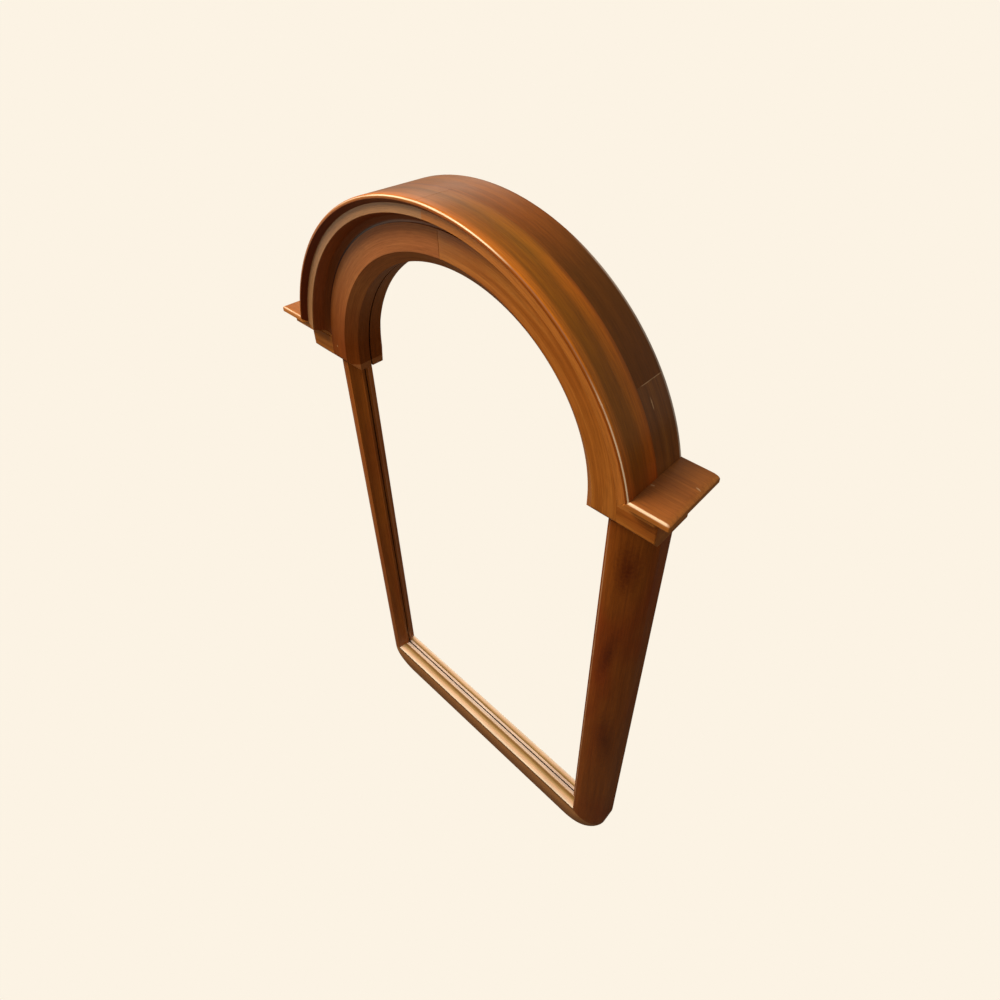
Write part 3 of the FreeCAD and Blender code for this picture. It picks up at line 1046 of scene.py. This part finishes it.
@dataclass
class Ears(Part):
    """The level ends of the hood, whose moulding returns along the side."""

    corner_radius: float = 1.6
    corner_steps: int = 4
    return_reach: float = 314.0
    rim_lean: float = 1.2
    # Painted shade: the tops of the ears a little darker than their fronts
    top_bands: Bands = Bands(Axis.ACROSS, ((68.6, "#ffffff"), (69.8, "#e8e0e4")))
    # Painted highlights along the front top edges of the ears
    right_wear: RubbedEdge = RubbedEdge((68.5, -97.1), 2.0, ((290.0, 1.0), (334.0, 0.9), (338.0, 0.3)))
    left_wear: RubbedEdge = RubbedEdge((68.8, -97.4), 1.4, ((-338.0, 0.6), (-330.0, 0.9), (-290.0, 0.8)))
    top_marks: tuple[Mark, ...] = (Mark((0.3323, -0.0334, 0.070), (0, 0, -12), (4.4, 1.1, 1.2)),
                                   Mark((0.2945, -0.0599, 0.070), (0, 0, 20), (2.4, 1.1, 1.2)))

    def build(self) -> None:
        """Makes both ears."""
        point, normal = self.sizes.mitre()
        for side in Side:
            mesh = self.mesh()
            cut(mesh, point + normal * (self.sizes.joint_clearance * MM), -normal)
            touches = (self.top_bands,) + side.pick((self.right_wear, *self.top_marks), (self.left_wear,))
            finish = HardwoodFinish(f"ear_{side.word}_hardwood", side.pick(15.1, 17.6), dark="#a06026",
                                    middle="#ac682a", light="#b6702e", redness=0.25, touches=touches)
            make_piece(f"ear_{side.word}", side.mirror(mesh), sideways, finish)

    def mesh(self) -> BMesh:
        """Sweeps the moulding along the front and round the corner to the back.

        Returns:
            The right ear, which still runs on past its mitre.
        """
        s = self.sizes
        tip = s.hood_radius + s.ear_reach
        mesh = bmesh.new()
        lines = []
        for radius, depth in rounded(replace(s, rim_lean=self.rim_lean).hood_section(0)):
            if depth > 0:
                reach = max(self.return_reach, tip - s.ear_return * (s.hood_depth - depth))
                level = self.level(reach, depth, radius - (s.hood_radius - s.ear_height))
                lines.append([mesh.verts.new(point) for point in level])
        for low, high in zip(lines, lines[1:]):
            for i in range(len(low) - 1):
                mesh.faces.new((low[i], low[i + 1], high[i + 1], high[i]))
        foot, head = (mesh.verts.new(place(s.opening, 0, z)) for z in (s.ear_bottom, s.ear_height))
        mesh.faces.new(lines[0] + [foot])
        mesh.faces.new([head] + lines[-1][::-1])
        mesh.faces.new([line[-1] for line in lines] + [head, foot])
        mesh.faces.new([foot, head] + [line[0] for line in reversed(lines)])
        return mesh

    def level(self, x: float, depth: float, z: float) -> list[Vector]:
        """One level of the moulding: along the front, round the corner and back to the wall.

        Args:
            x: How far it reaches sideways, in millimetres.
            depth: How far it stands forwards.
            z: Its height.

        Returns:
            Its points, in metres.
        """
        r = self.corner_radius
        corner = [place(x - r + r * sin, depth - r + r * cos, z) for cos, sin in quarter(self.corner_steps)]
        return [place(self.sizes.opening, depth, z)] + corner + [place(x, 0, z)]


@dataclass
class Imposts(Part):
    """The blocks under the ears."""

    corner_radius: float = 6.0
    corner_steps: int = 8
    edge_radius: float = 1.5
    edge_steps: int = 5
    seat_steps: int = 6

    def build(self) -> None:
        """Makes both blocks."""
        s = self.sizes
        outer = s.hood_radius + s.impost_reach
        seat = math.asin(s.ear_bottom / s.arch_outer)
        seats = [seat * (1 - k / self.seat_steps) for k in range(self.seat_steps + 1)]
        outline = rounded([
            Corner(s.arch_outer, s.foot_bottom),
            Corner(outer, s.foot_bottom, self.corner_radius),
            Corner(outer, s.ear_bottom),
        ], self.corner_steps) + [(s.arch_outer * math.cos(a), s.arch_outer * math.sin(a)) for a in seats]
        for side in Side:
            mesh = bmesh.new()
            rows = [[mesh.verts.new(self.drawn_in(x, z, inset, depth)) for x, z in outline]
                    for depth, inset in self.levels()]
            close_grid(mesh, rows)
            bmesh.ops.recalc_face_normals(mesh, faces=mesh.faces)
            s.trim_foot(mesh)
            finish = HardwoodFinish(f"impost_{side.word}_hardwood", side.pick(19.2, 21.5))
            make_piece(f"impost_{side.word}", side.mirror(mesh), sideways, finish)

    def levels(self) -> list[Point2]:
        """Depths from back to front with how far the outer edge is drawn in."""
        front, r = self.sizes.face_depth, self.edge_radius
        return [(0.0, 0.0)] + [(front - r + r * sin, r - r * cos) for cos, sin in quarter(self.edge_steps)]

    def drawn_in(self, x: float, z: float, inset: float, depth: float) -> Vector:
        """A point of the outline, drawn in towards its outer edge.

        Args:
            x: Its place sideways, in millimetres.
            z: Its height.
            inset: How far the outer edge is drawn in.
            depth: Its depth.

        Returns:
            The point, in metres.
        """
        s = self.sizes
        share = max(0.0, min(1.0, (x - s.arch_outer) / (s.hood_radius + s.impost_reach - s.arch_outer)))
        return place(x - inset * share, depth, z)


@dataclass
class BaseFrame(Part):
    """Stiles and bottom rail: an inner moulding and a convex outside that rounds the lower corners."""

    half_width: float = 300.0
    depth: float = 58.5
    side_depth: float = 23.0
    bulge: float = 1.5
    lip: float = 237.7
    lip_length: float = 4.5
    lip_step: float = 2.0
    edge_width: float = 11.7
    strip_width: float = 6.0
    cove_sag: float = 1.3
    rebate_lap: float = 10.0
    rail_lip: float = 747.1
    bottom: float = 879.0
    corner: float = 99.0
    inner_corner: float = 2.0
    lip_softness: float = 0.8
    edge_softness: float = 0.9
    corner_steps: int = 24
    bulge_steps: int = 32
    rail_bulge: float = 1.9
    # Dark red patches down the rounded outside of the right stile
    stile_stains: tuple[Mark, ...] = (
        Mark((0.277, -0.0480, -0.085), (0, 0, 0), (16.0, 22.0, 48.0), "#4c0c04", 1.3, 0.9),
        Mark((0.270, -0.0500, -0.260), (0, 6, 0), (10.0, 22.0, 64.0), "#440e06", 1.3, 0.8),
        Mark((0.282, -0.0450, -0.480), (0, -4, 0), (13.0, 22.0, 95.0), "#421206", 1.3, 0.75))
    low_bands: Bands = Bands(Axis.ALONG, ((-870.0, "#c4a8b0"), (-780.0, "#ffffff")), 10.0)
    # Painted highlight along the inner front edge of the right stile
    inner_wear: RubbedEdge = RubbedEdge((249.7, -58.2), 1.7, (
        (-870.0, 0.5), (-700.0, 0.75), (-120.0, 0.8), (-12.0, 0.4)), "#c8986c")
    # Painted sheen and shade across the rail's moulding: pale bands for the sheen of light from above, darker
    # ones for the shade between
    rail_bands: Bands = Bands(Axis.ACROSS, (
        (-747.1, "#e2e3e8"), (-747.4, "#ffffff"), (-749.2, "#ffffff"), (-749.7, "#ab9b76"),
        (-750.3, "#9a845d"), (-751.6, "#82683f"), (-753.3, "#a18e5c"), (-755.1, "#c2b694"),
        (-755.7, "#dcc6aa"), (-757.2, "#e7dccf"), (-758.5, "#f2feff"), (-759.2, "#897759"),
        (-764.6, "#816242"), (-765.4, "#b79062"), (-800.0, "#a07a54")), 0.2)

    @property
    def strip(self) -> float:
        """How far the outside begins beyond the lip."""
        return self.edge_width + self.strip_width

    def build(self) -> None:
        """Makes the stiles and the rail from one mitred sweep."""
        normal = Vector((1, 0, 1)).normalized()
        point = place(self.lip, 0, -self.rail_lip)
        for side in Side:
            mesh = self.sweep()
            cut(mesh, point, -normal)
            cut(mesh, Vector((0, 0, 0)), Vector((-1, 0, 0)))
            name = f"stile_{side.word}_hardwood"
            if side is Side.RIGHT:
                finish = HardwoodFinish(
                    name, 23.7, dark="#7a3b0c", middle="#864410", light="#944d15", red="#7c2a08", redness=0.6,
                    touches=(self.low_bands, self.inner_wear, *self.stile_stains))
            else:
                finish = HardwoodFinish(name, 26.2, dark="#8a4612", middle="#965018", light="#a2581c",
                                        red="#843610", redness=0.45)
            make_piece(f"stile_{side.word}", side.mirror(mesh), upright, finish)
        rail = self.sweep()
        for side in Side:
            cut(rail, side.turn(point), side.turn(normal))
        # The rail's pale colours are painted sheen, shaped by the bands across its moulding
        finish = HardwoodFinish(
            "bottom_rail_hardwood", 29.9, dark="#f4d0b0", middle="#fcdcc0", light="#ffe4cc", red="#f4ccb0",
            redness=0.15, roughness=0.46, specular=0.3, coat=0.0, touches=(self.rail_bands,))
        make_piece("bottom_rail", rail, sideways, finish)

    def levels(self) -> list[Place3]:
        """Section of the frame.

        Returns:
            For each point its distance outwards from the lip, its depth, and its share of the bulge.
        """
        glass = self.sizes.glass_depth
        moulding = rounded([
            Corner(0, glass),
            Corner(0, glass + self.lip_length, self.lip_softness),
            Corner(self.lip_step, glass + self.lip_length, 0.0, self.cove_sag),
            Corner(self.edge_width, self.depth, self.edge_softness),
            Corner(self.strip, self.depth),
        ])
        levels = [(self.rebate_lap, 0.0, 0.0), (self.rebate_lap, glass, 0.0)]
        levels += [(out, depth, 0.0) for out, depth in moulding]
        power = 2 / self.bulge
        for cos, sin in quarter(self.bulge_steps)[1:]:
            depth = self.side_depth + (self.depth - self.side_depth) * cos ** power
            levels.append((self.strip, depth, sin ** power))
        return levels + [(self.strip, 0.0, 1.0)]

    def sweep(self) -> BMesh:
        """Sweeps the section down the right side, round both lower corners and up the left.

        Returns:
            The closed mesh of all three boards.
        """
        mesh = bmesh.new()
        columns = [self.station(*level) for level in self.levels()]
        close_grid(mesh, [[mesh.verts.new(point) for point in row] for row in zip(*columns)])
        return mesh

    def station(self, out: float, depth: float, share: float) -> list[Vector]:
        """Points of one level from the top of the right stile round to the top of the left.

        Args:
            out: Distance outwards from the lip, in millimetres.
            depth: Its depth.
            share: Its share of the bulge.

        Returns:
            The points, in metres.
        """
        x = self.lip + out + (self.half_width - self.lip - self.strip) * share
        fuller = share ** (self.bulge / self.rail_bulge)
        z = -self.rail_lip - out - (self.bottom - self.rail_lip - self.strip) * fuller
        radius = 0.0 if out < self.strip else self.inner_corner + (self.corner - self.inner_corner) * share
        right = [(x, self.sizes.foot_bottom)]
        right += [(x - radius + radius * cos, z + radius - radius * sin)
                  for cos, sin in quarter(self.corner_steps)]
        return [place(a, depth, b) for a, b in right] + [place(-a, depth, b) for a, b in reversed(right)]


@dataclass
class MirrorGlass(Part):
    """The arch-headed sheet of mirror glass.

    The clear glass shows nothing of itself, so the silvering on its back is what is built. It lies as far
    behind the lip as it seems to through 4 mm of glass at a slant, which is why a thin dark line parts the
    wood from its reflection.
    """

    clearance: float = 1.0
    seen_thickness: float = 1.2
    silvering: float = 0.2
    steps: int = 96

    def build(self) -> Object:
        """Makes the silvered sheet.

        Returns:
            The piece.
        """
        s = self.sizes
        half = s.rebate_half_width - self.clearance
        drop = s.rebate_drop - self.clearance
        angles = [math.pi * k / self.steps for k in range(self.steps + 1)]
        outline = [(half * math.cos(a), half * math.sin(a)) for a in angles] + [(-half, -drop), (half, -drop)]
        back = s.glass_depth - self.seen_thickness - self.silvering
        mesh = bmesh.new()
        rows = [[mesh.verts.new(place(x, depth, z)) for x, z in outline]
                for depth in (back, back + self.silvering)]
        close_grid(mesh, rows)
        return make_piece("mirror_glass", mesh, upright, MirrorFinish(), "silvering")


# Screws, backing and hangers

@dataclass(frozen=True)
class ScrewSize:
    """One size of slotted round-headed wood screw, in millimetres."""

    head_radius: float
    head_height: float
    shank_radius: float
    length: float
    slot_width: float = 0.9
    slot_share: float = 0.5
    point_share: float = 1.6
    head_steps: int = 8
    around: int = 24

    def master(self) -> Object:
        """Turns one screw with its seat at the origin and its head towards +Z, and saws its slot.

        Returns:
            An object with the screw's plain mesh.
        """
        point = self.point_share * self.shank_radius
        dome = [(self.head_radius * cos, self.head_height * sin) for cos, sin in quarter(self.head_steps)]
        profile = [(0.0, -self.length), (self.shank_radius, point - self.length), (self.shank_radius, 0.0)]
        profile += dome[:-1] + [(0.0, self.head_height)]
        screw = bmesh.new()
        verts = [screw.verts.new(Vector((r, 0, z)) * MM) for r, z in profile]
        edges = [screw.edges.new(pair) for pair in zip(verts, verts[1:])]
        bmesh.ops.spin(screw, geom=verts + edges, axis=(0, 0, 1), cent=(0, 0, 0), steps=self.around,
                       angle=2 * math.pi)
        bmesh.ops.remove_doubles(screw, verts=screw.verts, dist=WELD)
        bmesh.ops.recalc_face_normals(screw, faces=screw.faces)
        # The blade is twice as long as the head is wide, and its middle lies on the head's top
        blade = bmesh.new()
        size = Vector((4 * self.head_radius, self.slot_width, 2 * self.slot_share * self.head_height)) * MM
        bmesh.ops.create_cube(blade, size=1.0, matrix=Matrix.Translation((0, 0, self.head_height * MM))
                              @ Matrix.Diagonal((*size, 1)))
        body, tool = mesh_object("screw_master", screw), mesh_object("slot_blade", blade)
        slot = body.modifiers.new("slot", "BOOLEAN")
        slot.object = tool
        plain_mesh(body)
        bpy.data.objects.remove(tool)
        return body


def plain_mesh(piece: Object) -> None:
    """Turns what an object's modifiers make into its own mesh, and removes them.

    Args:
        piece: The object.
    """
    bpy.context.view_layer.update()
    graph = bpy.context.evaluated_depsgraph_get()
    data = bpy.data.meshes.new_from_object(piece.evaluated_get(graph))
    piece.modifiers.clear()
    piece.data = data


class ScrewSet:
    """Screws set out on points by Geometry Nodes, each turned to its own slot angle."""

    def __init__(self) -> None:
        """Builds the tree with its named inputs."""
        self.tree = bpy.data.node_groups.new("screws_on_points", "GeometryNodeTree")
        for name, kind in (("Points", "Geometry"), ("Screw", "Object"), ("Finish", "Material"),
                           ("Slot Seed", "Int")):
            self.tree.interface.new_socket(name, in_out="INPUT", socket_type=f"NodeSocket{kind}")
        self.tree.interface.new_socket("Screws", in_out="OUTPUT", socket_type="NodeSocketGeometry")
        graph = NodeGraph(self.tree)
        given = graph.add("NodeGroupInput").outputs
        one = graph.add("GeometryNodeObjectInfo", {"Object": given["Screw"]}).outputs["Geometry"]
        aim = graph.add("GeometryNodeInputNamedAttribute", {"Name": "aim"}, data_type="FLOAT_VECTOR")
        turn = graph.add("FunctionNodeAlignRotationToVector", {"Vector": aim.outputs["Attribute"]}, axis="Z")
        placed = graph.add("GeometryNodeInstanceOnPoints", {"Points": given["Points"], "Instance": one,
                                                            "Rotation": turn})
        spin = graph.add("FunctionNodeRandomValue", {2: 0.0, 3: math.pi, 8: given["Slot Seed"]},
                         data_type="FLOAT")
        about = graph.add("ShaderNodeCombineXYZ", {"Z": spin.outputs[1]})
        slotted = graph.add("GeometryNodeRotateInstances", {"Instances": placed, "Rotation": about})
        real = graph.add("GeometryNodeRealizeInstances", (slotted,))
        dressed = graph.add("GeometryNodeSetMaterial", {"Geometry": real, "Material": given["Finish"]})
        graph.add("NodeGroupOutput", {"Screws": dressed})

    def build(self, node: str, size: ScrewSize, seats: Sequence[tuple[Vector, Vector]],
              material: bpy.types.Material, seed: int) -> None:
        """Makes one node's screws.

        Args:
            node: The CAD node that they stand for.
            size: Their size.
            seats: Where the underside of each head lies, in metres, and the way out of the wood.
            material: Their finish.
            seed: Seed of the slots' angles.
        """
        data = bpy.data.meshes.new(node + "_seats")
        data.from_pydata([tuple(seat) for seat, _aim in seats], [], [])
        aims = data.attributes.new("aim", "FLOAT_VECTOR", "POINT")
        for i, (_seat, aim) in enumerate(seats):
            aims.data[i].vector = aim
        piece = add_object(node + "_slotted", data)
        master = size.master()
        nodes = piece.modifiers.new("screws", "NODES")
        nodes.node_group = self.tree
        values = {"Screw": master, "Finish": material, "Slot Seed": seed}
        for item in self.tree.interface.items_tree:
            if item.in_out == "INPUT" and item.name in values:
                nodes[item.identifier] = values[item.name]
        plain_mesh(piece)
        bpy.data.objects.remove(master)
        hand_over(piece, node, hard_edge=35.0)


@dataclass
class Hardware(Part):
    """Backing, battens, hangers and pads in their own materials, and all the screws."""

    batten_width: float = 11.0
    batten_thickness: float = 12.0
    batten_clearance: float = 0.3
    batten_low_gap: float = 15.0
    batten_top_drop: float = 12.0
    backing_thickness: float = 5.0
    seat_lift: float = 0.05
    stile_shares: tuple[float, ...] = (0.08, 0.36, 0.64, 0.92)
    rail_shares: tuple[float, ...] = (0.12, 0.5, 0.88)
    arch_shares: tuple[float, ...] = (0.12, 0.37, 0.63, 0.88)
    hanger_offset: float = 271.0
    hanger_drops: tuple[float, ...] = (26.0, 43.0)
    strap_thickness: float = 1.0
    batten_screw: ScrewSize = ScrewSize(3.2, 1.8, 1.5, 26.0)
    hanger_screw: ScrewSize = ScrewSize(3.4, 1.6, 1.6, 16.0)
    # Sawn softwood is pale and dull, hardboard brown and speckled, felt dark and without any shine; their
    # mottle is 11, 4 and 1 mm wide
    softwood: PlainFinish = PlainFinish("raw_softwood", "#b18f63", "#cdb083", 90.0, 0.7)
    board: PlainFinish = PlainFinish("brown_hardboard", "#5d4126", "#6d4f31", 260.0, 0.75)
    felt: PlainFinish = PlainFinish("brown_felt", "#3b3027", "#54463a", 900.0, 0.95, 0.0, 0.4)
    # Plated steel gives a dull grey shine and old brass a yellow one, with spots 2 mm wide
    steel: PlainFinish = PlainFinish("zinc_plated_steel", "#7f807d", "#9c9d99", 400.0, 0.52, 1.0)
    brass: PlainFinish = PlainFinish("dull_brass", "#8f7138", "#b3934f", 500.0, 0.35, 1.0)

    def build(self, nodes: dict[str, Object]) -> None:
        """Dresses the CAD nodes that stay and makes the screws.

        Args:
            nodes: The CAD nodes by name.
        """
        steel = self.steel.material()
        for material, names in (
                (self.softwood.material(), ("batten_right", "batten_left", "batten_bottom", "arch_blocks",
                                            "dowels")),
                (self.board.material(), ("backing_board",)),
                (self.felt.material(), ("felt_pads",)),
                (steel, ("hanger_strap_right", "hanger_strap_left", "hanger_ring_right",
                         "hanger_ring_left"))):
            for name in names:
                nodes[name].data.materials.clear()
                nodes[name].data.materials.append(material)
                LOG.info("%s: %s", name, material.name)
        screws = ScrewSet()
        brass = self.brass.material()
        screws.build("batten_screws", self.batten_screw, self.batten_seats(), brass, seed=4)
        screws.build("hanger_screws", self.hanger_screw, self.hanger_seats(), steel, seed=9)

    def batten_seats(self) -> list[tuple[Vector, Vector]]:
        """Seats of the screws through the battens and blocks.

        Returns:
            Each seat in metres, with the way out of the wood.
        """
        s = self.sizes
        inner = s.rebate_half_width - self.batten_clearance - self.batten_width
        foot = s.rebate_drop - self.batten_clearance
        depth = s.glass_depth - s.glass_thickness - self.backing_thickness - self.batten_thickness / 2
        low = self.batten_low_gap - foot
        seats = []
        for share in self.stile_shares:
            z = low + share * (-self.batten_top_drop - low)
            seats += [(place(side.value * inner, depth, z), Vector((-side.value, 0, 0))) for side in Side]
        for share in self.rail_shares:
            seats.append((place((2 * share - 1) * inner, depth, self.batten_width - foot), Vector((0, 0, 1))))
        for share in self.arch_shares:
            out = Vector((math.cos(math.pi * share), 0, math.sin(math.pi * share)))
            seats.append((place(0, depth, 0) + out * ((inner - self.seat_lift) * MM), -out))
        return seats

    def hanger_seats(self) -> list[tuple[Vector, Vector]]:
        """Seats of the screws through the hanger straps, with the way out."""
        return [(place(side.value * self.hanger_offset, -self.strap_thickness, -drop), Vector((0, 1, 0)))
                for side in Side for drop in self.hanger_drops]


# Studio

@dataclass(frozen=True)
class Lamp:
    """A rectangular soft light, with its place, aim, width and height in metres and its power in watts."""

    name: str
    at: Place3
    aim: Place3
    size: Point2
    power: float
    colour: str

    def build(self) -> None:
        """Hangs the lamp and turns it to its aim."""
        data = bpy.data.lights.new(self.name, "AREA")
        data.shape = "RECTANGLE"
        data.size, data.size_y = self.size
        data.energy = self.power
        data.color = srgb(self.colour)[:3]
        lamp = add_object(self.name, data)
        lamp.location = self.at
        lamp.rotation_euler = (Vector(self.aim) - Vector(self.at)).to_track_quat("-Z", "Y").to_euler()


@dataclass(frozen=True)
class Studio:
    """Pale room, soft lights and the camera of the photograph, in metres and degrees."""

    backdrop: str = "#fcf3e4"
    ambient: str = "#f4f1ec"
    ambient_strength: float = 0.3
    floor_paint: str = "#5a4e42"
    floor_drop: float = 0.95
    floor_size: float = 6.0
    floor_squares: int = 8
    # Broad lights from the upper left and from the back, and small ones that draw the edges
    lamps: tuple[Lamp, ...] = (
        Lamp("upper_left_light", (-1.0, -1.0, 1.7), (0.0, 0.0, -0.2), (1.4, 0.6), 72.0, "#fff4e6"),
        Lamp("behind_left_light", (-1.3, 1.1, 0.9), (0.0, 0.0, 0.25), (1.2, 0.6), 2.4, "#fff2e4"),
        Lamp("left_window", (-1.35, -1.0, -0.2), (0.0, 0.0, 0.25), (1.2, 0.45), 2.0, "#fcf3e4"),
        Lamp("back_light", (0.0, 3.0, -0.45), (0.0, 0.0, -0.3), (1.6, 1.6), 70.0, "#fff8f0"),
        Lamp("front_right_light", (1.6, -1.7, 0.5), (0.2, 0.0, 0.0), (0.14, 0.14), 6.0, "#fff8ee"))
    camera_place: Place3 = (0.51676, -0.50724, 0.50576)
    heading: float = 41.985
    tilt: float = 52.777
    roll: float = 0.525
    lens: float = 22.9515
    sensor: float = 36.0
    shift_x: float = -0.02103
    shift_y: float = -0.0710
    nearest: float = 0.01

    def build(self) -> None:
        """Makes the world, floor, lights and camera."""
        self.world()
        self.floor()
        for lamp in self.lamps:
            lamp.build()
        self.camera()

    def world(self) -> None:
        """Soft grey light, with the pale backdrop where it is seen or mirrored."""
        world = bpy.data.worlds.new("studio_world")
        bpy.context.scene.world = world
        graph = empty_graph(world)
        # The world counts one bounce more than a surface does
        seen = self.seen(graph, deepest=2.5)
        light = graph.add("ShaderNodeBackground", (srgb(self.ambient), self.ambient_strength))
        pale = graph.add("ShaderNodeBackground", (srgb(self.backdrop), 1.0))
        graph.add("ShaderNodeOutputWorld", (graph.add("ShaderNodeMixShader", (seen, light, pale)),))

    @staticmethod
    def seen(graph: NodeGraph, deepest: float) -> Node:
        """Adds a value that is 1 for camera rays, transmission rays and rays straight from a sharp mirror.

        Args:
            graph: The graph that it is added to.
            deepest: Ray depth up to which a mirrored ray counts as straight.

        Returns:
            A node whose first output is the value.
        """
        path = graph.add("ShaderNodeLightPath").outputs
        mirrored = graph.add("ShaderNodeMath", (path["Is Glossy Ray"], path["Is Singular Ray"]),
                             operation="MULTIPLY")
        straight = graph.add("ShaderNodeMath", (path["Ray Depth"], deepest), operation="LESS_THAN")
        direct = graph.add("ShaderNodeMath", (mirrored, straight), operation="MULTIPLY")
        first = graph.add("ShaderNodeMath", (path["Is Camera Ray"], direct), operation="MAXIMUM")
        return graph.add("ShaderNodeMath", (first, path["Is Transmission Ray"]), operation="MAXIMUM")

    def floor(self) -> None:
        """Wide pale floor below the mirror, which looks like the backdrop and throws little light back."""
        mesh = bmesh.new()
        bmesh.ops.create_grid(mesh, x_segments=self.floor_squares, y_segments=self.floor_squares,
                              size=self.floor_size)
        bmesh.ops.translate(mesh, vec=(0, 0, -self.floor_drop), verts=mesh.verts)
        floor = mesh_object("studio_floor", mesh)
        material = bpy.data.materials.new("pale_floor_paint")
        graph = empty_graph(material)
        matt = graph.add("ShaderNodeBsdfDiffuse", (srgb(self.floor_paint),))
        glow = graph.add("ShaderNodeEmission", (srgb(self.backdrop), 1.0))
        mixed = graph.add("ShaderNodeMixShader", (self.seen(graph, deepest=1.5), matt, glow))
        graph.add("ShaderNodeOutputMaterial", (mixed,))
        floor.data.materials.append(material)

    @staticmethod
    def hide_lamps_from(mirror: Object) -> None:
        """Keeps the lamps out of the mirror, which shows only the pale room.

        Args:
            mirror: The silvered piece.
        """
        dark = bpy.data.collections.new("lamps_not_shown_in")
        dark.objects.link(mirror)
        dark.collection_objects[0].light_linking.link_state = "EXCLUDE"
        for lamp in bpy.context.scene.objects:
            if lamp.type == "LIGHT":
                lamp.light_linking.receiver_collection = dark

    def camera(self) -> None:
        """Sets the camera where the photograph was taken."""
        data = bpy.data.cameras.new("photo_camera")
        data.sensor_width = self.sensor
        data.lens = self.lens
        data.shift_x = self.shift_x
        data.shift_y = self.shift_y
        data.clip_start = self.nearest
        camera = add_object("photo_camera", data)
        turn = Matrix.Identity(4)
        for angle, axis in ((self.heading, "Z"), (self.tilt, "X"), (self.roll, "Z")):
            turn = turn @ Matrix.Rotation(math.radians(angle), 4, axis)
        camera.matrix_world = Matrix.Translation(self.camera_place) @ turn
        bpy.context.scene.camera = camera


def main() -> None:
    """Builds every sub-assembly in order."""
    logging.basicConfig(level=logging.INFO)
    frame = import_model()
    bpy.context.scene.view_settings.view_transform = "Standard"
    studio = Studio()
    studio.build()
    for part in (Hood(), ArchFace(), Ears(), Imposts(), BaseFrame()):
        part.build()
    studio.hide_lamps_from(MirrorGlass().build())
    Hardware().build(frame["nodes"])


if __name__ == "__main__":
    main()
